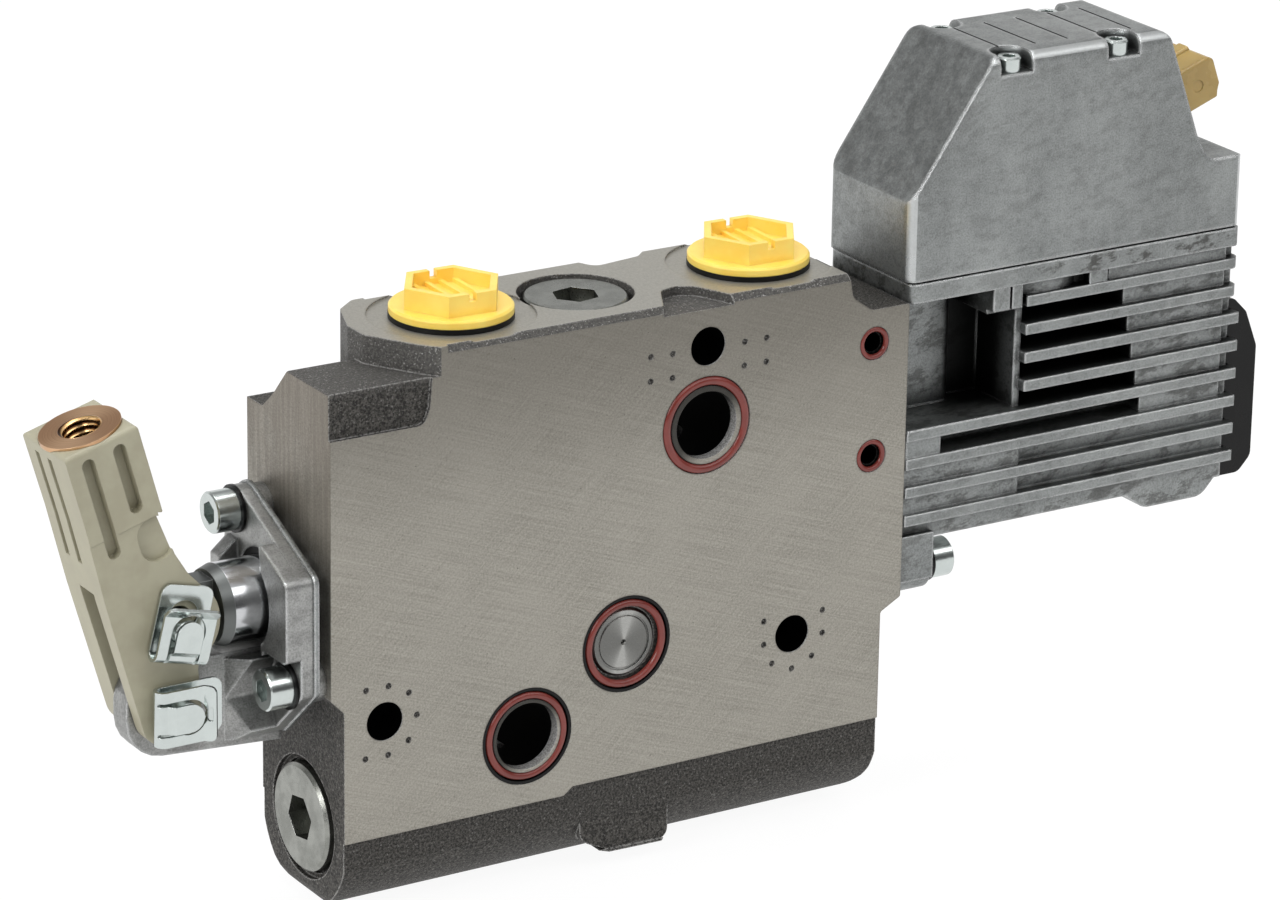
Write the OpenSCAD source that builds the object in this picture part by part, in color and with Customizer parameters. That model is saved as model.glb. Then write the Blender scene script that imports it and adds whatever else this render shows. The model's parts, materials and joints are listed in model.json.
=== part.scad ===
// Hydraulic control valve: one section of a stacked valve bank.
// A cast iron body holds one sliding spool. A hand lever works the spool from the left end,
// an electro-hydraulic actuator works it from the right end, and a spring centres it.
// The origin is the centre of the upper gallery on the front sealing face.
// X runs along the spool towards the actuator, Y runs back through the body, Z is up.

/* [Body] */
// Depth of the body between its two sealing faces
body_d = 40; // [38:0.5:44]
// Distance from the gallery axis to the lever end face
body_left = 100.4; // [99:0.2:106]
// Distance from the gallery axis to the actuator end face
body_right = 56.8; // [56:0.2:62]
// Height of the machined port deck
deck_z = 31; // [30:0.5:36]
// Height of the raw ledge left of the deck
ledge_z = 24; // [23.5:0.25:26]
// Depth of the raw underside of the body below the gallery axis
belly_z = 107.6; // [107:0.2:112]
// Width of the cast foot on the front of the belly
foot_w = 17.6; // [16:0.4:20]

/* [Spool] */
// Depth of the spool axis below the gallery axis
spool_drop = 29; // [28.5:0.25:30]
// Diameter of the spool
spool_d = 16; // [15:0.25:17]
// Radial running clearance of sliding pieces
run_clear = 0.07; // [0.04:0.01:0.09]
// Travel of the spool to each side
spool_travel = 7; // [6:0.25:7.25]

/* [Ports] */
// Place of the left work port
port_a_x = -57.7; // [-59:0.1:-57]
// Place of the right work port
port_b_x = 23.6; // [22.5:0.1:24.5]
// Bore of the work ports
port_d = 19; // [18:0.25:20]
// Diameter of the spotface round a work port
spotface_d = 39.6; // [38:0.2:40]
// Place of the check valve plug in the deck
check_x = -24.3; // [-25:0.1:-24]
// Diameter of the head of the check valve plug
check_head_d = 24.8; // [24:0.2:26]
// Diameter of the upper and lower galleries
gallery_d = 16.6; // [16:0.2:17]
// Place of the lower gallery along the body
lower_x = -48.2; // [-49:0.1:-47]
// Depth of the lower gallery below the upper one
lower_drop = 69; // [68:0.1:70]
// Place of the closed gallery along the body
closed_x = -21.2; // [-22:0.1:-20]
// Depth of the closed gallery
closed_drop = 51; // [50:0.1:52]
// Diameter of the holes for the tie rods
tie_d = 9.5; // [9:0.1:10]

/* [Seals] */
// Outer diameter of the seal grooves round the galleries
groove_d = 24.2; // [23.8:0.1:24.8]
// Depth of the seal grooves
groove_depth = 1.9; // [1.6:0.1:2.4]
// Cord diameter of the gallery seals
ring_cord = 2.3; // [2.1:0.1:2.5]

/* [Compensator] */
// Depth of the compensator axis below the gallery axis
comp_drop = 86.5; // [86:0.1:87.5]
// Diameter of the compensator piston
comp_d = 16; // [15:0.25:17]
// Travel of the compensator piston
comp_travel = 4; // [3:0.25:5]
// Travel of the check valve poppet
check_travel = 3; // [2:0.25:3.5]
// Diameter of the head of the compensator plug
comp_head_d = 26.2; // [25.6:0.2:27]

/* [Lever] */
// Distance from the end face to the lever pivot
pivot_reach = 33.2; // [32:0.2:35]
// Distance between the lever pivot and the spool pin
pin_gap = 20; // [19.5:0.25:21]
// Diameter of both lever pins
pin_d = 6.6; // [6:0.1:7]
// Lean of the lever away from the body in degrees
lever_lean = 16.2; // [12:0.2:18]
// Length of the lever from its pivot
lever_len = 70.8; // [64:0.4:80]
// Depth of the lever at its top
lever_d = 20.6; // [19:0.2:21]
// Depth of the lever at its pivot
lever_foot_d = 16; // [15:0.2:17]
// Gap between the cheeks of the lever
cheek_gap = 7.2; // [7:0.1:7.6]
// Diameter of the plunger
plunger_d = 19.4; // [19:0.2:20.4]
// Thickness of the sheet of the spring clips
clip_t = 0.8; // [0.6:0.1:1]

/* [Actuator] */
// Length of the actuator housing
housing_l = 98.8; // [97:0.2:104]
// Depth of the actuator housing
housing_d = 35.6; // [34.5:0.2:38]
// Height of the top of the housing above the gallery axis
plate_z = 25.2; // [25:0.1:26]
// Thickness of the housing's top plate
plate_t = 4.7; // [4:0.1:5]
// Number of cooling fins
fin_count = 8; // [7:1:9]
// Distance from one fin to the next
fin_pitch = 7.25; // [7:0.05:7.5]
// Thickness of a fin
fin_t = 2.7; // [2.2:0.1:3.2]
// Height of the middle of the top fin
fin_top_z = 16; // [15.5:0.1:16.5]
// Wall of the electronics cover
cover_t = 2.5; // [2:0.1:3]
// Height of the electronics cover
cover_h = 52.8; // [50:0.2:58]
// Thickness of the gaskets
gasket_t = 0.6; // [0.4:0.1:0.8]

/* [Hidden] */
$fn = 64;
eps = 0.01;
mid_y = body_d / 2;
spool_z = -spool_drop;
comp_z = -comp_drop;

// Places a flat XZ drawing between two depths
module along_y(y0, y1) {
  translate([0, y1, 0]) rotate([90, 0, 0]) linear_extrude(y1 - y0) children();
}

// Places a flat YZ drawing between two places along X
module along_x(x0, x1) {
  translate([x0, 0, 0]) rotate([90, 0, 90]) linear_extrude(x1 - x0) children();
}

module rod_x(y, z, r, x0, x1) {
  translate([x0, y, z]) rotate([0, 90, 0]) cylinder(r = r, h = x1 - x0);
}

module rod_y(x, z, r, y0, y1) {
  translate([x, y0, z]) rotate([-90, 0, 0]) cylinder(r = r, h = y1 - y0);
}

module rod_z(x, y, r, z0, z1) {
  translate([x, y, z0]) cylinder(r = r, h = z1 - z0);
}

// Points of a corner rounded to radius r, between the points before and after it
function unit(v) = v / norm(v);
function corner(a, b, c, r, n) =
  let (u = unit(a - b), v = unit(c - b), half = acos(u * v) / 2)
  r <= 0 || half > 89 ? [b] :
  let (
    mid = b + unit(u + v) * r / sin(half),
    from = b + u * r / tan(half) - mid,
    sweep = 180 - 2 * half,
    turn = (u[0] * v[1] - u[1] * v[0]) > 0 ? -1 : 1
  )
  [for (i = [0 : n]) let (t = turn * sweep * i / n)
    mid + [from[0] * cos(t) - from[1] * sin(t), from[0] * sin(t) + from[1] * cos(t)]];

// A closed outline from rows of x, y and corner radius
function rounded(rows, n = 5) =
  let (k = len(rows))
  [for (i = [0 : k - 1])
    let (a = rows[(i + k - 1) % k], b = rows[i], c = rows[(i + 1) % k])
    each corner([a[0], a[1]], [b[0], b[1]], [c[0], c[1]], b[2], n)];

function box_rows(x0, y0, x1, y1, r) = [[x0, y0, r], [x1, y0, r], [x1, y1, r], [x0, y1, r]];

// Helical wire along Z from z0 to z1 as one closed tube
module coil(radius, wire, z0, z1, turns, steps = 14, sides = 6) {
  rings = turns * steps;
  pitch = (z1 - z0 - wire) / turns;
  points = [for (i = [0 : rings], j = [0 : sides - 1])
    let (a = 360 * i / steps, b = 360 * j / sides, r = radius + wire / 2 * cos(b))
    [r * cos(a), r * sin(a), z0 + wire / 2 + pitch * i / steps + wire / 2 * sin(b)]];
  faces = concat(
    [[for (j = [0 : sides - 1]) j]],
    [[for (j = [sides - 1 : -1 : 0]) rings * sides + j]],
    [for (i = [0 : rings - 1], j = [0 : sides - 1])
      let (k = (j + 1) % sides)
      [i * sides + k, i * sides + j, (i + 1) * sides + j, (i + 1) * sides + k]]
  );
  polyhedron(points, faces);
}

// Socket head cap screw along +X from under its head, with its head towards -X
module cap_screw(size, length) {
  head_r = size * 0.83;
  difference() {
    union() {
      rod_x(0, 0, size / 2 - run_clear, 0, length);
      rod_x(0, 0, head_r, -size + 0.4, 0);
      translate([-size, 0, 0]) rotate([0, 90, 0]) cylinder(r1 = head_r - 0.4, r2 = head_r, h = 0.4);
    }
    translate([-size - eps, 0, 0]) rotate([0, 90, 0]) cylinder(r = size * 0.48, h = size / 2, $fn = 6);
  }
}

// Body
under_step = 3.4;
lower_right = 51.1;
step_z = -53.7;
shelf_z = 21;
deck_right = 39.4;
face_low_z = -86.3;
face_step_x = -38;
face_right_low_z = -84.4;
belly_r = 20.4;
belly_axis_z = -(belly_z - belly_r);
foot_x = -17.1;
foot_pad = 0.9;
raw_inset = 0.6;
deck_left = -71.9;
pocket_depth = 1;
seat_depth = 0.5;
tie_spots = [[0, 19.5], [25.5, -57.5], [-86.4, -57.5]];
signal_spots = [[47.1, 12.5], [47, -15.9]];
punch_spots = [
  [-15.7, 19.4], [-9.7, 19.2], [-15.7, 13.4], [-9.7, 13.3],
  [10.2, 19], [16.3, 19], [10.2, 13.1], [16.3, 13.1],
  [-91.3, -48.9], [-85.4, -48.9], [-80, -51.6], [-77.9, -57.5], [-80.1, -63.4], [-85.5, -66], [-91.5, -65.9],
  [17.4, -52.8], [17.5, -58.8], [20, -64.1], [25.7, -66.5], [31.4, -64.3], [34.3, -58.9], [34.2, -53]
];
closed_r = gallery_d / 2 + 0.3;
signal_groove_r = 4.2;
signal_r = 2.4;
base_screw_spots = [[mid_y + 12, spool_z + 17.5], [mid_y - 13.1, spool_z - 17.6]];
actuator_screw_spots = [[mid_y - 12, spool_z - 20], [mid_y + 12, spool_z - 20]];
screw_size = 6;
screw_bite = 11;
chamber_spots = [-76, port_a_x, -39, 0, port_b_x, 38];
chamber_r = 12.5;
chamber_w = 8;
plunger_pocket = 12.5;
plunger_pocket_r = plunger_d / 2 + 1.2;

module body_outline() {
  left = -body_left;
  polygon(rounded([
    [left, -50, 0.4],
    [left + under_step, -50 - under_step, 1],
    [left + under_step, face_low_z, 0],
    [face_step_x, face_low_z, 0],
    [face_step_x + 2.4, face_right_low_z, 0.8],
    [lower_right, face_right_low_z, 0],
    [lower_right, -56.8, 1],
    [body_right, step_z, 0.8],
    [body_right, shelf_z, 0.5],
    [46, shelf_z, 3],
    [40.5, 25, 2.5],
    [deck_right, deck_z, 0.4],
    [-70, deck_z, 0],
    [-70, ledge_z, 0],
    [left, ledge_z, 0.4]
  ]));
}

module deck_block() {
  translate([0, 0, 5]) linear_extrude(deck_z - 5) polygon(rounded([
    [deck_left, 0, 1],
    [-60, 0, 0],
    [-60, body_d, 0],
    [deck_left - 1, body_d, 3],
    [-78.5, 35.3, 2],
    [-82.8, 24, 3],
    [-82.8, 16.5, 3],
    [-75, 3.6, 1]
  ]));
}

module ledge_slope() {
  along_x(-body_left - 1, -70) polygon([
    [mid_y + 0.4, ledge_z + 1],
    [mid_y + 0.4, ledge_z],
    [mid_y + 6.7, 17.1],
    [mid_y + 9.1, 14.9],
    [mid_y + 12.6, 12],
    [body_d + 1, 12],
    [body_d + 1, ledge_z + 1]
  ]);
}

module belly() {
  intersection() {
    along_x(-body_left + under_step, lower_right) union() {
      translate([mid_y, belly_axis_z]) circle(r = belly_r);
      translate([raw_inset, belly_axis_z]) square([body_d - 2 * raw_inset, 12]);
    }
    along_y(raw_inset, body_d - raw_inset) polygon(rounded([
      [-body_left + under_step, -70, 0],
      [-body_left + under_step, -belly_z, 6],
      [lower_right, -belly_z, 9],
      [lower_right, -70, 0]
    ]));
  }
}

module foot() {
  front = 1;
  top = -92.6;
  low = -belly_z + 4.3;
  along_y(front, front + 14) polygon(rounded([
    [foot_x - foot_w / 2, top, 2],
    [foot_x + foot_w / 2, top + 0.6, 2],
    [foot_x + foot_w / 2, low - 0.4, 2.5],
    [foot_x - foot_w / 2 + 1, low, 0.8],
    [foot_x - foot_w / 2 - 7, low + 3.6, 4],
    [foot_x - foot_w / 2 - 7, top, 0]
  ]));
  // Thin machined pad under the block
  along_y(front - 0.25, front + 12) polygon(rounded([
    [foot_x - foot_w / 2 - 1.6, low + 0.3, 0],
    [foot_x + foot_w / 2 - 1.2, low - 0.2, 0],
    [foot_x + foot_w / 2 - 1.6, low - foot_pad, 0.3],
    [foot_x - foot_w / 2 + 1.2, low - foot_pad + 0.3, 0.3]
  ]));
}

module seal_groove(x, z, inner_r) {
  difference() {
    rod_y(x, z, groove_d / 2, -1, groove_depth);
    rod_y(x, z, inner_r, -2, groove_depth + 1);
  }
}

module open_groove(x, z) {
  rod_y(x, z, groove_d / 2, -1, groove_depth);
}

module body_cuts() {
  // Galleries, signal holes and tie rod holes
  rod_y(0, 0, gallery_d / 2, -1, body_d + 1);
  rod_y(lower_x, -lower_drop, gallery_d / 2, -1, body_d + 1);
  seal_groove(0, 0, upper_major - ring_r - 0.1);
  seal_groove(lower_x, -lower_drop, inner_major + inner_shift - inner_r - 0.1);
  open_groove(closed_x, -closed_drop);
  rod_y(closed_x, -closed_drop, closed_r, 0, 9);
  for (p = signal_spots) {
    rod_y(p[0], p[1], signal_groove_r, -1, 1.3);
    rod_y(p[0], p[1], signal_r, 0, 6.5);
  }
  for (p = tie_spots) rod_y(p[0], p[1], tie_d / 2, -1, body_d + 1);
  // Spool bore with its chambers and the drillings that meet them
  rod_x(mid_y, spool_z, spool_d / 2 + run_clear, -body_left - 1, body_right + 1);
  rod_x(mid_y, spool_z, plunger_pocket_r, -body_left - 1, -body_left + plunger_pocket);
  for (x = chamber_spots)
    rod_x(mid_y, spool_z, chamber_r, x - chamber_w / 2, x + chamber_w / 2);
  rod_z(0, mid_y, 5, spool_z, 0);
  for (x = [port_a_x, port_b_x]) {
    rod_z(x, mid_y, port_d / 2, spool_z + 8, deck_z + 1);
    rod_z(x, mid_y, spotface_d / 2, deck_z - seat_depth, deck_z + 1);
    translate([x, mid_y, deck_z - seat_depth - 1]) cylinder(r1 = port_d / 2, r2 = port_d / 2 + 1, h = 1 + eps);
  }
  // Check valve bore under its plug
  rod_z(check_x, mid_y, check_head_d / 2 + 1.5, deck_z - 0.6 - check_head_h - check_ring_t, deck_z + 1);
  rod_z(check_x, mid_y, check_bore_r, check_seat_z, deck_z);
  rod_z(check_x, mid_y, 5, spool_z, check_seat_z + 1);
  // Compensator bore
  rod_x(mid_y, comp_z, comp_head_d / 2 + 0.7, -body_left - 1, comp_seat_x);
  rod_x(mid_y, comp_z, comp_head_d / 2 + 1.9, -body_left - 1, -body_left + under_step + 1.5);
  rod_x(mid_y, comp_z, comp_plug_r, -body_left - 1, comp_seat_x + 16);
  rod_x(mid_y, comp_z, comp_d / 2 + run_clear, comp_seat_x, comp_far_x);
  for (x = [-49.5, -28.5]) rod_x(mid_y, comp_z, comp_d / 2 + 3, x - 4, x + 4);
  rod_x(mid_y, comp_z, 2.5, comp_far_x - 1, comp_far_x + 12);
  // Threaded holes in both end faces
  for (p = base_screw_spots) rod_x(p[0], p[1], screw_size / 2, -body_left - 1, -body_left + screw_bite + 1);
  for (p = actuator_screw_spots) rod_x(p[0], p[1], screw_size / 2, body_right - screw_bite - 1, body_right + 1);
  // Punched dots beside the tie rod holes
  for (p = punch_spots) translate([p[0], -eps, p[1]]) rotate([-90, 0, 0]) cylinder(r1 = 0.8, r2 = 0.15, h = 0.6);
  // Raw recesses left by the casting
  along_y(-1, pocket_depth) polygon(rounded([
    [-body_left - 1, 13, 0],
    [-76, 13, 2.5],
    [-74.6, 17, 0],
    [-74, ledge_z, 0],
    [-73.4, 27.8, 0],
    [deck_left, deck_z + 1, 0],
    [-body_left - 1, deck_z + 1, 0]
  ]));
  translate([-2, -1, deck_z - 2.4]) linear_extrude(4) polygon(rounded([
    [-11, 0, 0], [9.5, 0, 0], [4.5, 11, 3], [0.3, 13.5, 3], [-4.5, 12, 3]
  ]));
  translate([-4.5, body_d + 1, deck_z - 3]) linear_extrude(4) polygon(rounded([
    [-8.5, 0, 0], [-5.5, -6.5, 3], [7.5, -4.6, 3], [12.5, 0, 0]
  ]));
  // Raw strips along both long edges of the deck
  for (s = [0, 1]) translate([0, s * body_d, deck_z]) mirror([0, s, 0])
    along_x(deck_left + 2, deck_right + 2) polygon([[-1, -1.7], [0, -1.7], [1.3, 0.3], [-1, 0.3]]);
}

module valve_body() {
  color("dimgray") difference() {
    union() {
      difference() {
        along_y(0, body_d) body_outline();
        ledge_slope();
      }
      deck_block();
      belly();
      foot();
    }
    body_cuts();
  }
}

// Gallery seals and plug
ring_r = ring_cord / 2;

module seal_ring(x, z, major, minor, y) {
  translate([x, y, z]) rotate([90, 0, 0]) rotate_extrude() translate([major, 0]) circle(r = minor, $fn = 24);
}

backup_w = 0.9;
upper_major = groove_d / 2 - ring_r - 0.1;
inner_major = upper_major - backup_w;
inner_shift = 0.15;
inner_r = ring_r - 0.25;

module gallery_seals() {
  color("indianred") {
    seal_ring(0, 0, upper_major, ring_r - 0.02, ring_r - 0.45);
    seal_ring(lower_x, -lower_drop, inner_major + inner_shift, inner_r, ring_r - 0.5);
    seal_ring(closed_x, -closed_drop, inner_major + inner_shift, inner_r, ring_r - 0.5);
  }
}

module signal_seals() {
  signal_cord = 1.3;
  color("firebrick") for (p = signal_spots)
    seal_ring(p[0], p[1], signal_groove_r - signal_cord / 2 - 0.05, signal_cord / 2, signal_cord / 2 - 0.15);
}

module backup_rings() {
  color("black") for (p = [[lower_x, -lower_drop], [closed_x, -closed_drop]]) difference() {
    rod_y(p[0], p[1], groove_d / 2 - 0.05, 0.05, groove_depth - 0.02);
    rod_y(p[0], p[1], groove_d / 2 - backup_w + 0.12, -1, groove_depth + 1);
  }
}

module gallery_plug() {
  plug_r = closed_r - run_clear;
  face_y = 1.3;
  color("gray") difference() {
    union() {
      rod_y(closed_x, -closed_drop, plug_r, face_y + 0.6, 8.5);
      translate([closed_x, face_y, -closed_drop]) rotate([-90, 0, 0]) cylinder(r1 = plug_r - 0.6, r2 = plug_r, h = 0.6);
    }
    translate([closed_x, face_y, -closed_drop]) {
      difference() {
        rod_y(0, 0, plug_r - 1.5, -1, 0.3);
        translate([0, 0.02, 0]) rotate([-90, 0, 0]) cylinder(r1 = plug_r - 2.1, r2 = plug_r - 1.8, h = 0.4);
      }
      translate([0, -eps, 0]) rotate([-90, 0, 0]) cylinder(r1 = 0.75, r2 = 0.2, h = 0.8);
    }
  }
}

// Port plugs
flange_r = 14.6;
flange_t = 2;
port_ring_t = 1.3;
hex_af = 21.2;
hex_h = 5.1;
hex_turn = -122;
notch_w = 1.9;
port_floor = deck_z - seat_depth;
plug_thread_r = port_d / 2 - 0.15;

module port_plug(x) {
  hex_r = hex_af / 2 / cos(30);
  base = port_floor + port_ring_t;
  top = base + flange_t + hex_h;
  wall = 1.7;
  inner_r = (hex_af / 2 - wall) / cos(30);
  floor_z = top - 3.3;
  color("gold") translate([x, mid_y, 0]) difference() {
    union() {
      rod_z(0, 0, flange_r, base, base + flange_t - 0.5);
      translate([0, 0, base + flange_t - 0.5]) cylinder(r1 = flange_r, r2 = flange_r - 0.5, h = 0.5);
      rod_z(0, 0, plug_thread_r, base - 11, base);
      rotate([0, 0, hex_turn]) translate([0, 0, base]) cylinder(r = hex_r, h = top - base, $fn = 6);
    }
    difference() {
      rotate([0, 0, hex_turn]) translate([0, 0, floor_z]) cylinder(r = inner_r, h = top, $fn = 6);
      // Ribs that stiffen the floor of the hexagon
      rotate([0, 0, hex_turn + 30]) for (s = [-5.4, -1.8, 1.8, 5.4])
        translate([-hex_af, s - 0.6, floor_z - 1]) cube([2 * hex_af, 1.2, 1.9]);
    }
    rod_z(0, 0, plug_thread_r - 1.8, base - 12, base - 1);
    // Notches in two opposite walls
    rotate([0, 0, hex_turn + 30]) translate([-hex_af, -notch_w / 2, top - 1.9]) cube([2 * hex_af, notch_w, 4]);
  }
}

module port_seal(x) {
  color("black") translate([x, mid_y, 0]) difference() {
    rod_z(0, 0, flange_r + 0.1, port_floor, port_floor + port_ring_t);
    rod_z(0, 0, plug_thread_r + 0.1, port_floor - 1, port_floor + port_ring_t + 1);
  }
}

module port_plug_a() { port_plug(port_a_x); }
module port_plug_b() { port_plug(port_b_x); }
module port_seal_a() { port_seal(port_a_x); }
module port_seal_b() { port_seal(port_b_x); }

// Check valve
check_head_h = 5;
check_bore_r = 9;
check_seat_z = -10;
check_stub = 12;
socket_af = 10;
stem_r = 5.2;
check_ring_t = 0.5;

module check_plug() {
  top = deck_z - 0.6;
  under = top - check_head_h;
  color("silver") translate([check_x, mid_y, 0]) difference() {
    union() {
      rod_z(0, 0, check_head_d / 2, under, top - 0.5);
      translate([0, 0, top - 0.5]) cylinder(r1 = check_head_d / 2, r2 = check_head_d / 2 - 0.5, h = 0.5);
      rod_z(0, 0, check_bore_r - 0.1, under - check_stub, under);
    }
    translate([0, 0, top - 4]) rotate([0, 0, 10]) cylinder(r = socket_af / 2 / cos(30), h = 5, $fn = 6);
    rod_z(0, 0, stem_r + run_clear, under - check_stub - 1, under - 1.5);
  }
}

module check_plug_seal() {
  under = deck_z - 0.6 - check_head_h;
  color("black") translate([check_x, mid_y, under - check_ring_t + 0.02]) difference() {
    cylinder(r = check_head_d / 2 - 0.5, h = check_ring_t - 0.04);
    translate([0, 0, -1]) cylinder(r = check_bore_r + 0.2, h = 3);
  }
}

module check_poppet() {
  under = deck_z - 0.6 - check_head_h - check_stub;
  color("lightsteelblue") translate([check_x, mid_y, 0]) difference() {
    union() {
      rod_z(0, 0, stem_r, check_seat_z + 4, under + 6);
      rod_z(0, 0, 7, check_seat_z + 3, under - check_travel - 0.5);
      translate([0, 0, check_seat_z + 0.1]) cylinder(r1 = 5.6, r2 = 7, h = 2.9);
    }
    rod_z(0, 0, 4, under - 2, under + 7);
  }
}

module check_spring() {
  under = deck_z - 0.6 - check_head_h - check_stub;
  color("gainsboro") translate([check_x, mid_y, 0])
    coil(3, 0.9, under - 2, under + check_stub - 1.5, 5);
}

// Compensator
comp_seat_x = -body_left + under_step + 3;
comp_plug_r = 10.5;
comp_head_t = 3.2;
comp_gap = 0.8;
piston_x = comp_seat_x + 33;
piston_l = 46;
comp_far_x = piston_x + piston_l + 0.1;

module compensator_plug() {
  front = comp_seat_x - comp_gap - comp_head_t;
  color("silver") difference() {
    union() {
      rod_x(mid_y, comp_z, comp_head_d / 2, front + 0.8, front + comp_head_t);
      translate([front, mid_y, comp_z]) rotate([0, 90, 0])
        cylinder(r1 = comp_head_d / 2 - 0.8, r2 = comp_head_d / 2, h = 0.8);
      rod_x(mid_y, comp_z, comp_plug_r - 0.1, front + comp_head_t, comp_seat_x + 12);
    }
    translate([front - 1, mid_y, comp_z]) rotate([0, 90, 0]) rotate([0, 0, 20])
      cylinder(r = socket_af / 2 / cos(30), h = 6.5, $fn = 6);
    rod_x(mid_y, comp_z, 7, comp_seat_x + 6, comp_seat_x + 13);
  }
}

module compensator_seal() {
  color("black") difference() {
    rod_x(mid_y, comp_z, comp_head_d / 2 - 0.3, comp_seat_x - comp_gap, comp_seat_x);
    rod_x(mid_y, comp_z, comp_plug_r, comp_seat_x - 2, comp_seat_x + 1);
  }
}

module compensator_piston() {
  color("lightsteelblue") difference() {
    rod_x(mid_y, comp_z, comp_d / 2, piston_x, piston_x + piston_l);
    for (x = [9, 24, 36]) difference() {
      rod_x(mid_y, comp_z, comp_d, piston_x + x, piston_x + x + 5);
      rod_x(mid_y, comp_z, comp_d / 2 - 3, piston_x + x - 1, piston_x + x + 6);
    }
    rod_x(mid_y, comp_z, 5.5, piston_x - 1, piston_x + 5);
  }
}

module compensator_spring() {
  from = comp_seat_x + 6;
  color("gainsboro") translate([from, mid_y, comp_z]) rotate([0, 90, 0])
    coil(4.6, 1.2, 0, piston_x + 5 - from, 8);
}

// Lever base
base_gap = 3;
base_plate_t = 1.2;
base_t = 3.3;
boss_h = 3.8;
washer_t = 0.8;
pivot_x = -body_left - pivot_reach;
pivot_z = spool_z - pin_gap;
plate_x = -body_left - base_gap;
flange_back_x = plate_x - base_plate_t;
flange_x = flange_back_x - base_t;
boss_x = flange_x - boss_h;
seal_x1 = flange_x + 2.2;
tongue_t = cheek_gap - 0.6;
plunger_r = plunger_d / 2;
plunger_left = pivot_x + 11.8;
arm_top_z = spool_z - plunger_r - 1.3;
arm_end_r = 10.6;
seal_w = 1.7;

base_cz = spool_z + 0.5;

module base_outline(grow = 0) {
  polygon(rounded([
    [mid_y - 19.6 - grow, base_cz + 9.2 + grow / 2, 3],
    [mid_y - 19.6 - grow, base_cz - 19.2, 2.5],
    [mid_y - 4.5, base_cz - 33 - grow, 2.5],
    [mid_y + 4.5, base_cz - 33 - grow, 2.5],
    [mid_y + 17.5 + grow, base_cz - 21, 3],
    [mid_y + 17.5 + grow, base_cz + 25.4 + grow, 5.5]
  ]));
}

// Raised boss on the front side of the plunger
module boss_outline() {
  polygon(rounded([
    [mid_y - 6.4, base_cz + 14.9, 0.6],
    [mid_y - 19.6, base_cz + 9.2, 3],
    [mid_y - 19.6, base_cz - 10.4, 1.5],
    [mid_y - 7.2, base_cz - 12, 0],
    [mid_y - 6.9, base_cz + 9.9, 0.4]
  ]));
}

// Pocket round the lower screw, drawn in YZ with its deep corner towards the arm
module screw_pocket() {
  polygon(rounded([
    [mid_y - 3.5, spool_z - 22, 1],
    [mid_y - 8.4, base_cz - 10.6, 0],
    [mid_y - 22, base_cz - 10.6, 0],
    [mid_y - 22, spool_z - 36, 0],
    [mid_y - 7.5, spool_z - 30.5, 1]
  ]));
}

module lever_base() {
  color("darkgray") difference() {
    union() {
      along_x(flange_x, flange_back_x) base_outline();
      along_x(boss_x, flange_back_x) boss_outline();
      // Standing bosses that carry the base on the end face
      for (p = base_screw_spots) rod_x(p[0], p[1], 5, plate_x - base_plate_t, -body_left);
      // Arm that carries the lever pivot
      along_y(mid_y - tongue_t / 2, mid_y + tongue_t / 2) polygon(rounded([
        [flange_back_x, arm_top_z, 0],
        [pivot_x - arm_end_r, arm_top_z, 8.5],
        [pivot_x - arm_end_r, pivot_z - 12.4, 9.5],
        [flange_back_x, pivot_z - 15, 0]
      ]));
      // Flare between the arm and the flange
      intersection() {
        translate([0, 0, pivot_z - 15]) linear_extrude(arm_top_z - 1.2 - pivot_z + 15) polygon([
          [flange_back_x, mid_y - 13.5],
          [flange_x, mid_y - 12.5],
          [plunger_left + 2.5, mid_y - tongue_t / 2],
          [plunger_left + 2.5, mid_y + tongue_t / 2],
          [flange_x, mid_y + 12.5],
          [flange_back_x, mid_y + 13.5]
        ]);
        along_x(plunger_left, flange_back_x) base_outline();
      }
      // Cast stop under the upper screw
      along_y(mid_y + 10.8, mid_y + 15) polygon(rounded([
        [flange_x + 1, spool_z - 4, 0],
        [flange_x - 5, spool_z - 4, 0],
        [flange_x - 5, spool_z + 6.8, 0.4],
        [flange_x - 0.8, spool_z + 10.4, 0.4],
        [flange_x + 1, spool_z + 10.4, 0]
      ]));
    }
    rod_x(mid_y, spool_z, plunger_r + 0.7, boss_x - 8, -body_left);
    rod_x(mid_y, spool_z, plunger_r + seal_w, boss_x - 8, seal_x1);
    along_x(boss_x - 20, flange_x) screw_pocket();
    for (p = base_screw_spots) {
      rod_x(p[0], p[1], screw_size / 2 + 0.3, boss_x - 20, -body_left + 1);
      rod_x(p[0], p[1], 6.4, boss_x - 20, flange_x);
    }
    rod_y(pivot_x, pivot_z, pin_d / 2 + run_clear, 0, body_d);
  }
}

module lever_base_plate() {
  color("slategray") difference() {
    along_x(flange_back_x, plate_x) base_outline(0.4);
    rod_x(mid_y, spool_z, plunger_r + 1.2, boss_x, -body_left);
    for (p = base_screw_spots) rod_x(p[0], p[1], 5.05, boss_x, -body_left);
  }
}

module lever_base_screws() {
  length = base_gap + base_plate_t + base_t + washer_t + screw_bite;
  color("silver") for (p = base_screw_spots)
    translate([flange_x - washer_t, p[0], p[1]]) cap_screw(screw_size, length);
}

module lever_base_washers() {
  color("black") for (p = base_screw_spots) difference() {
    rod_x(p[0], p[1], 5.7, flange_x - washer_t, flange_x);
    rod_x(p[0], p[1], screw_size / 2 + 0.2, flange_x - 2, flange_x + 1);
  }
}

module plunger_seal() {
  color("black") difference() {
    rod_x(mid_y, spool_z, plunger_r + seal_w - 0.1, flange_x + 0.3, seal_x1);
    rod_x(mid_y, spool_z, plunger_r + run_clear, boss_x - 1, flange_x + 3);
  }
}

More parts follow.
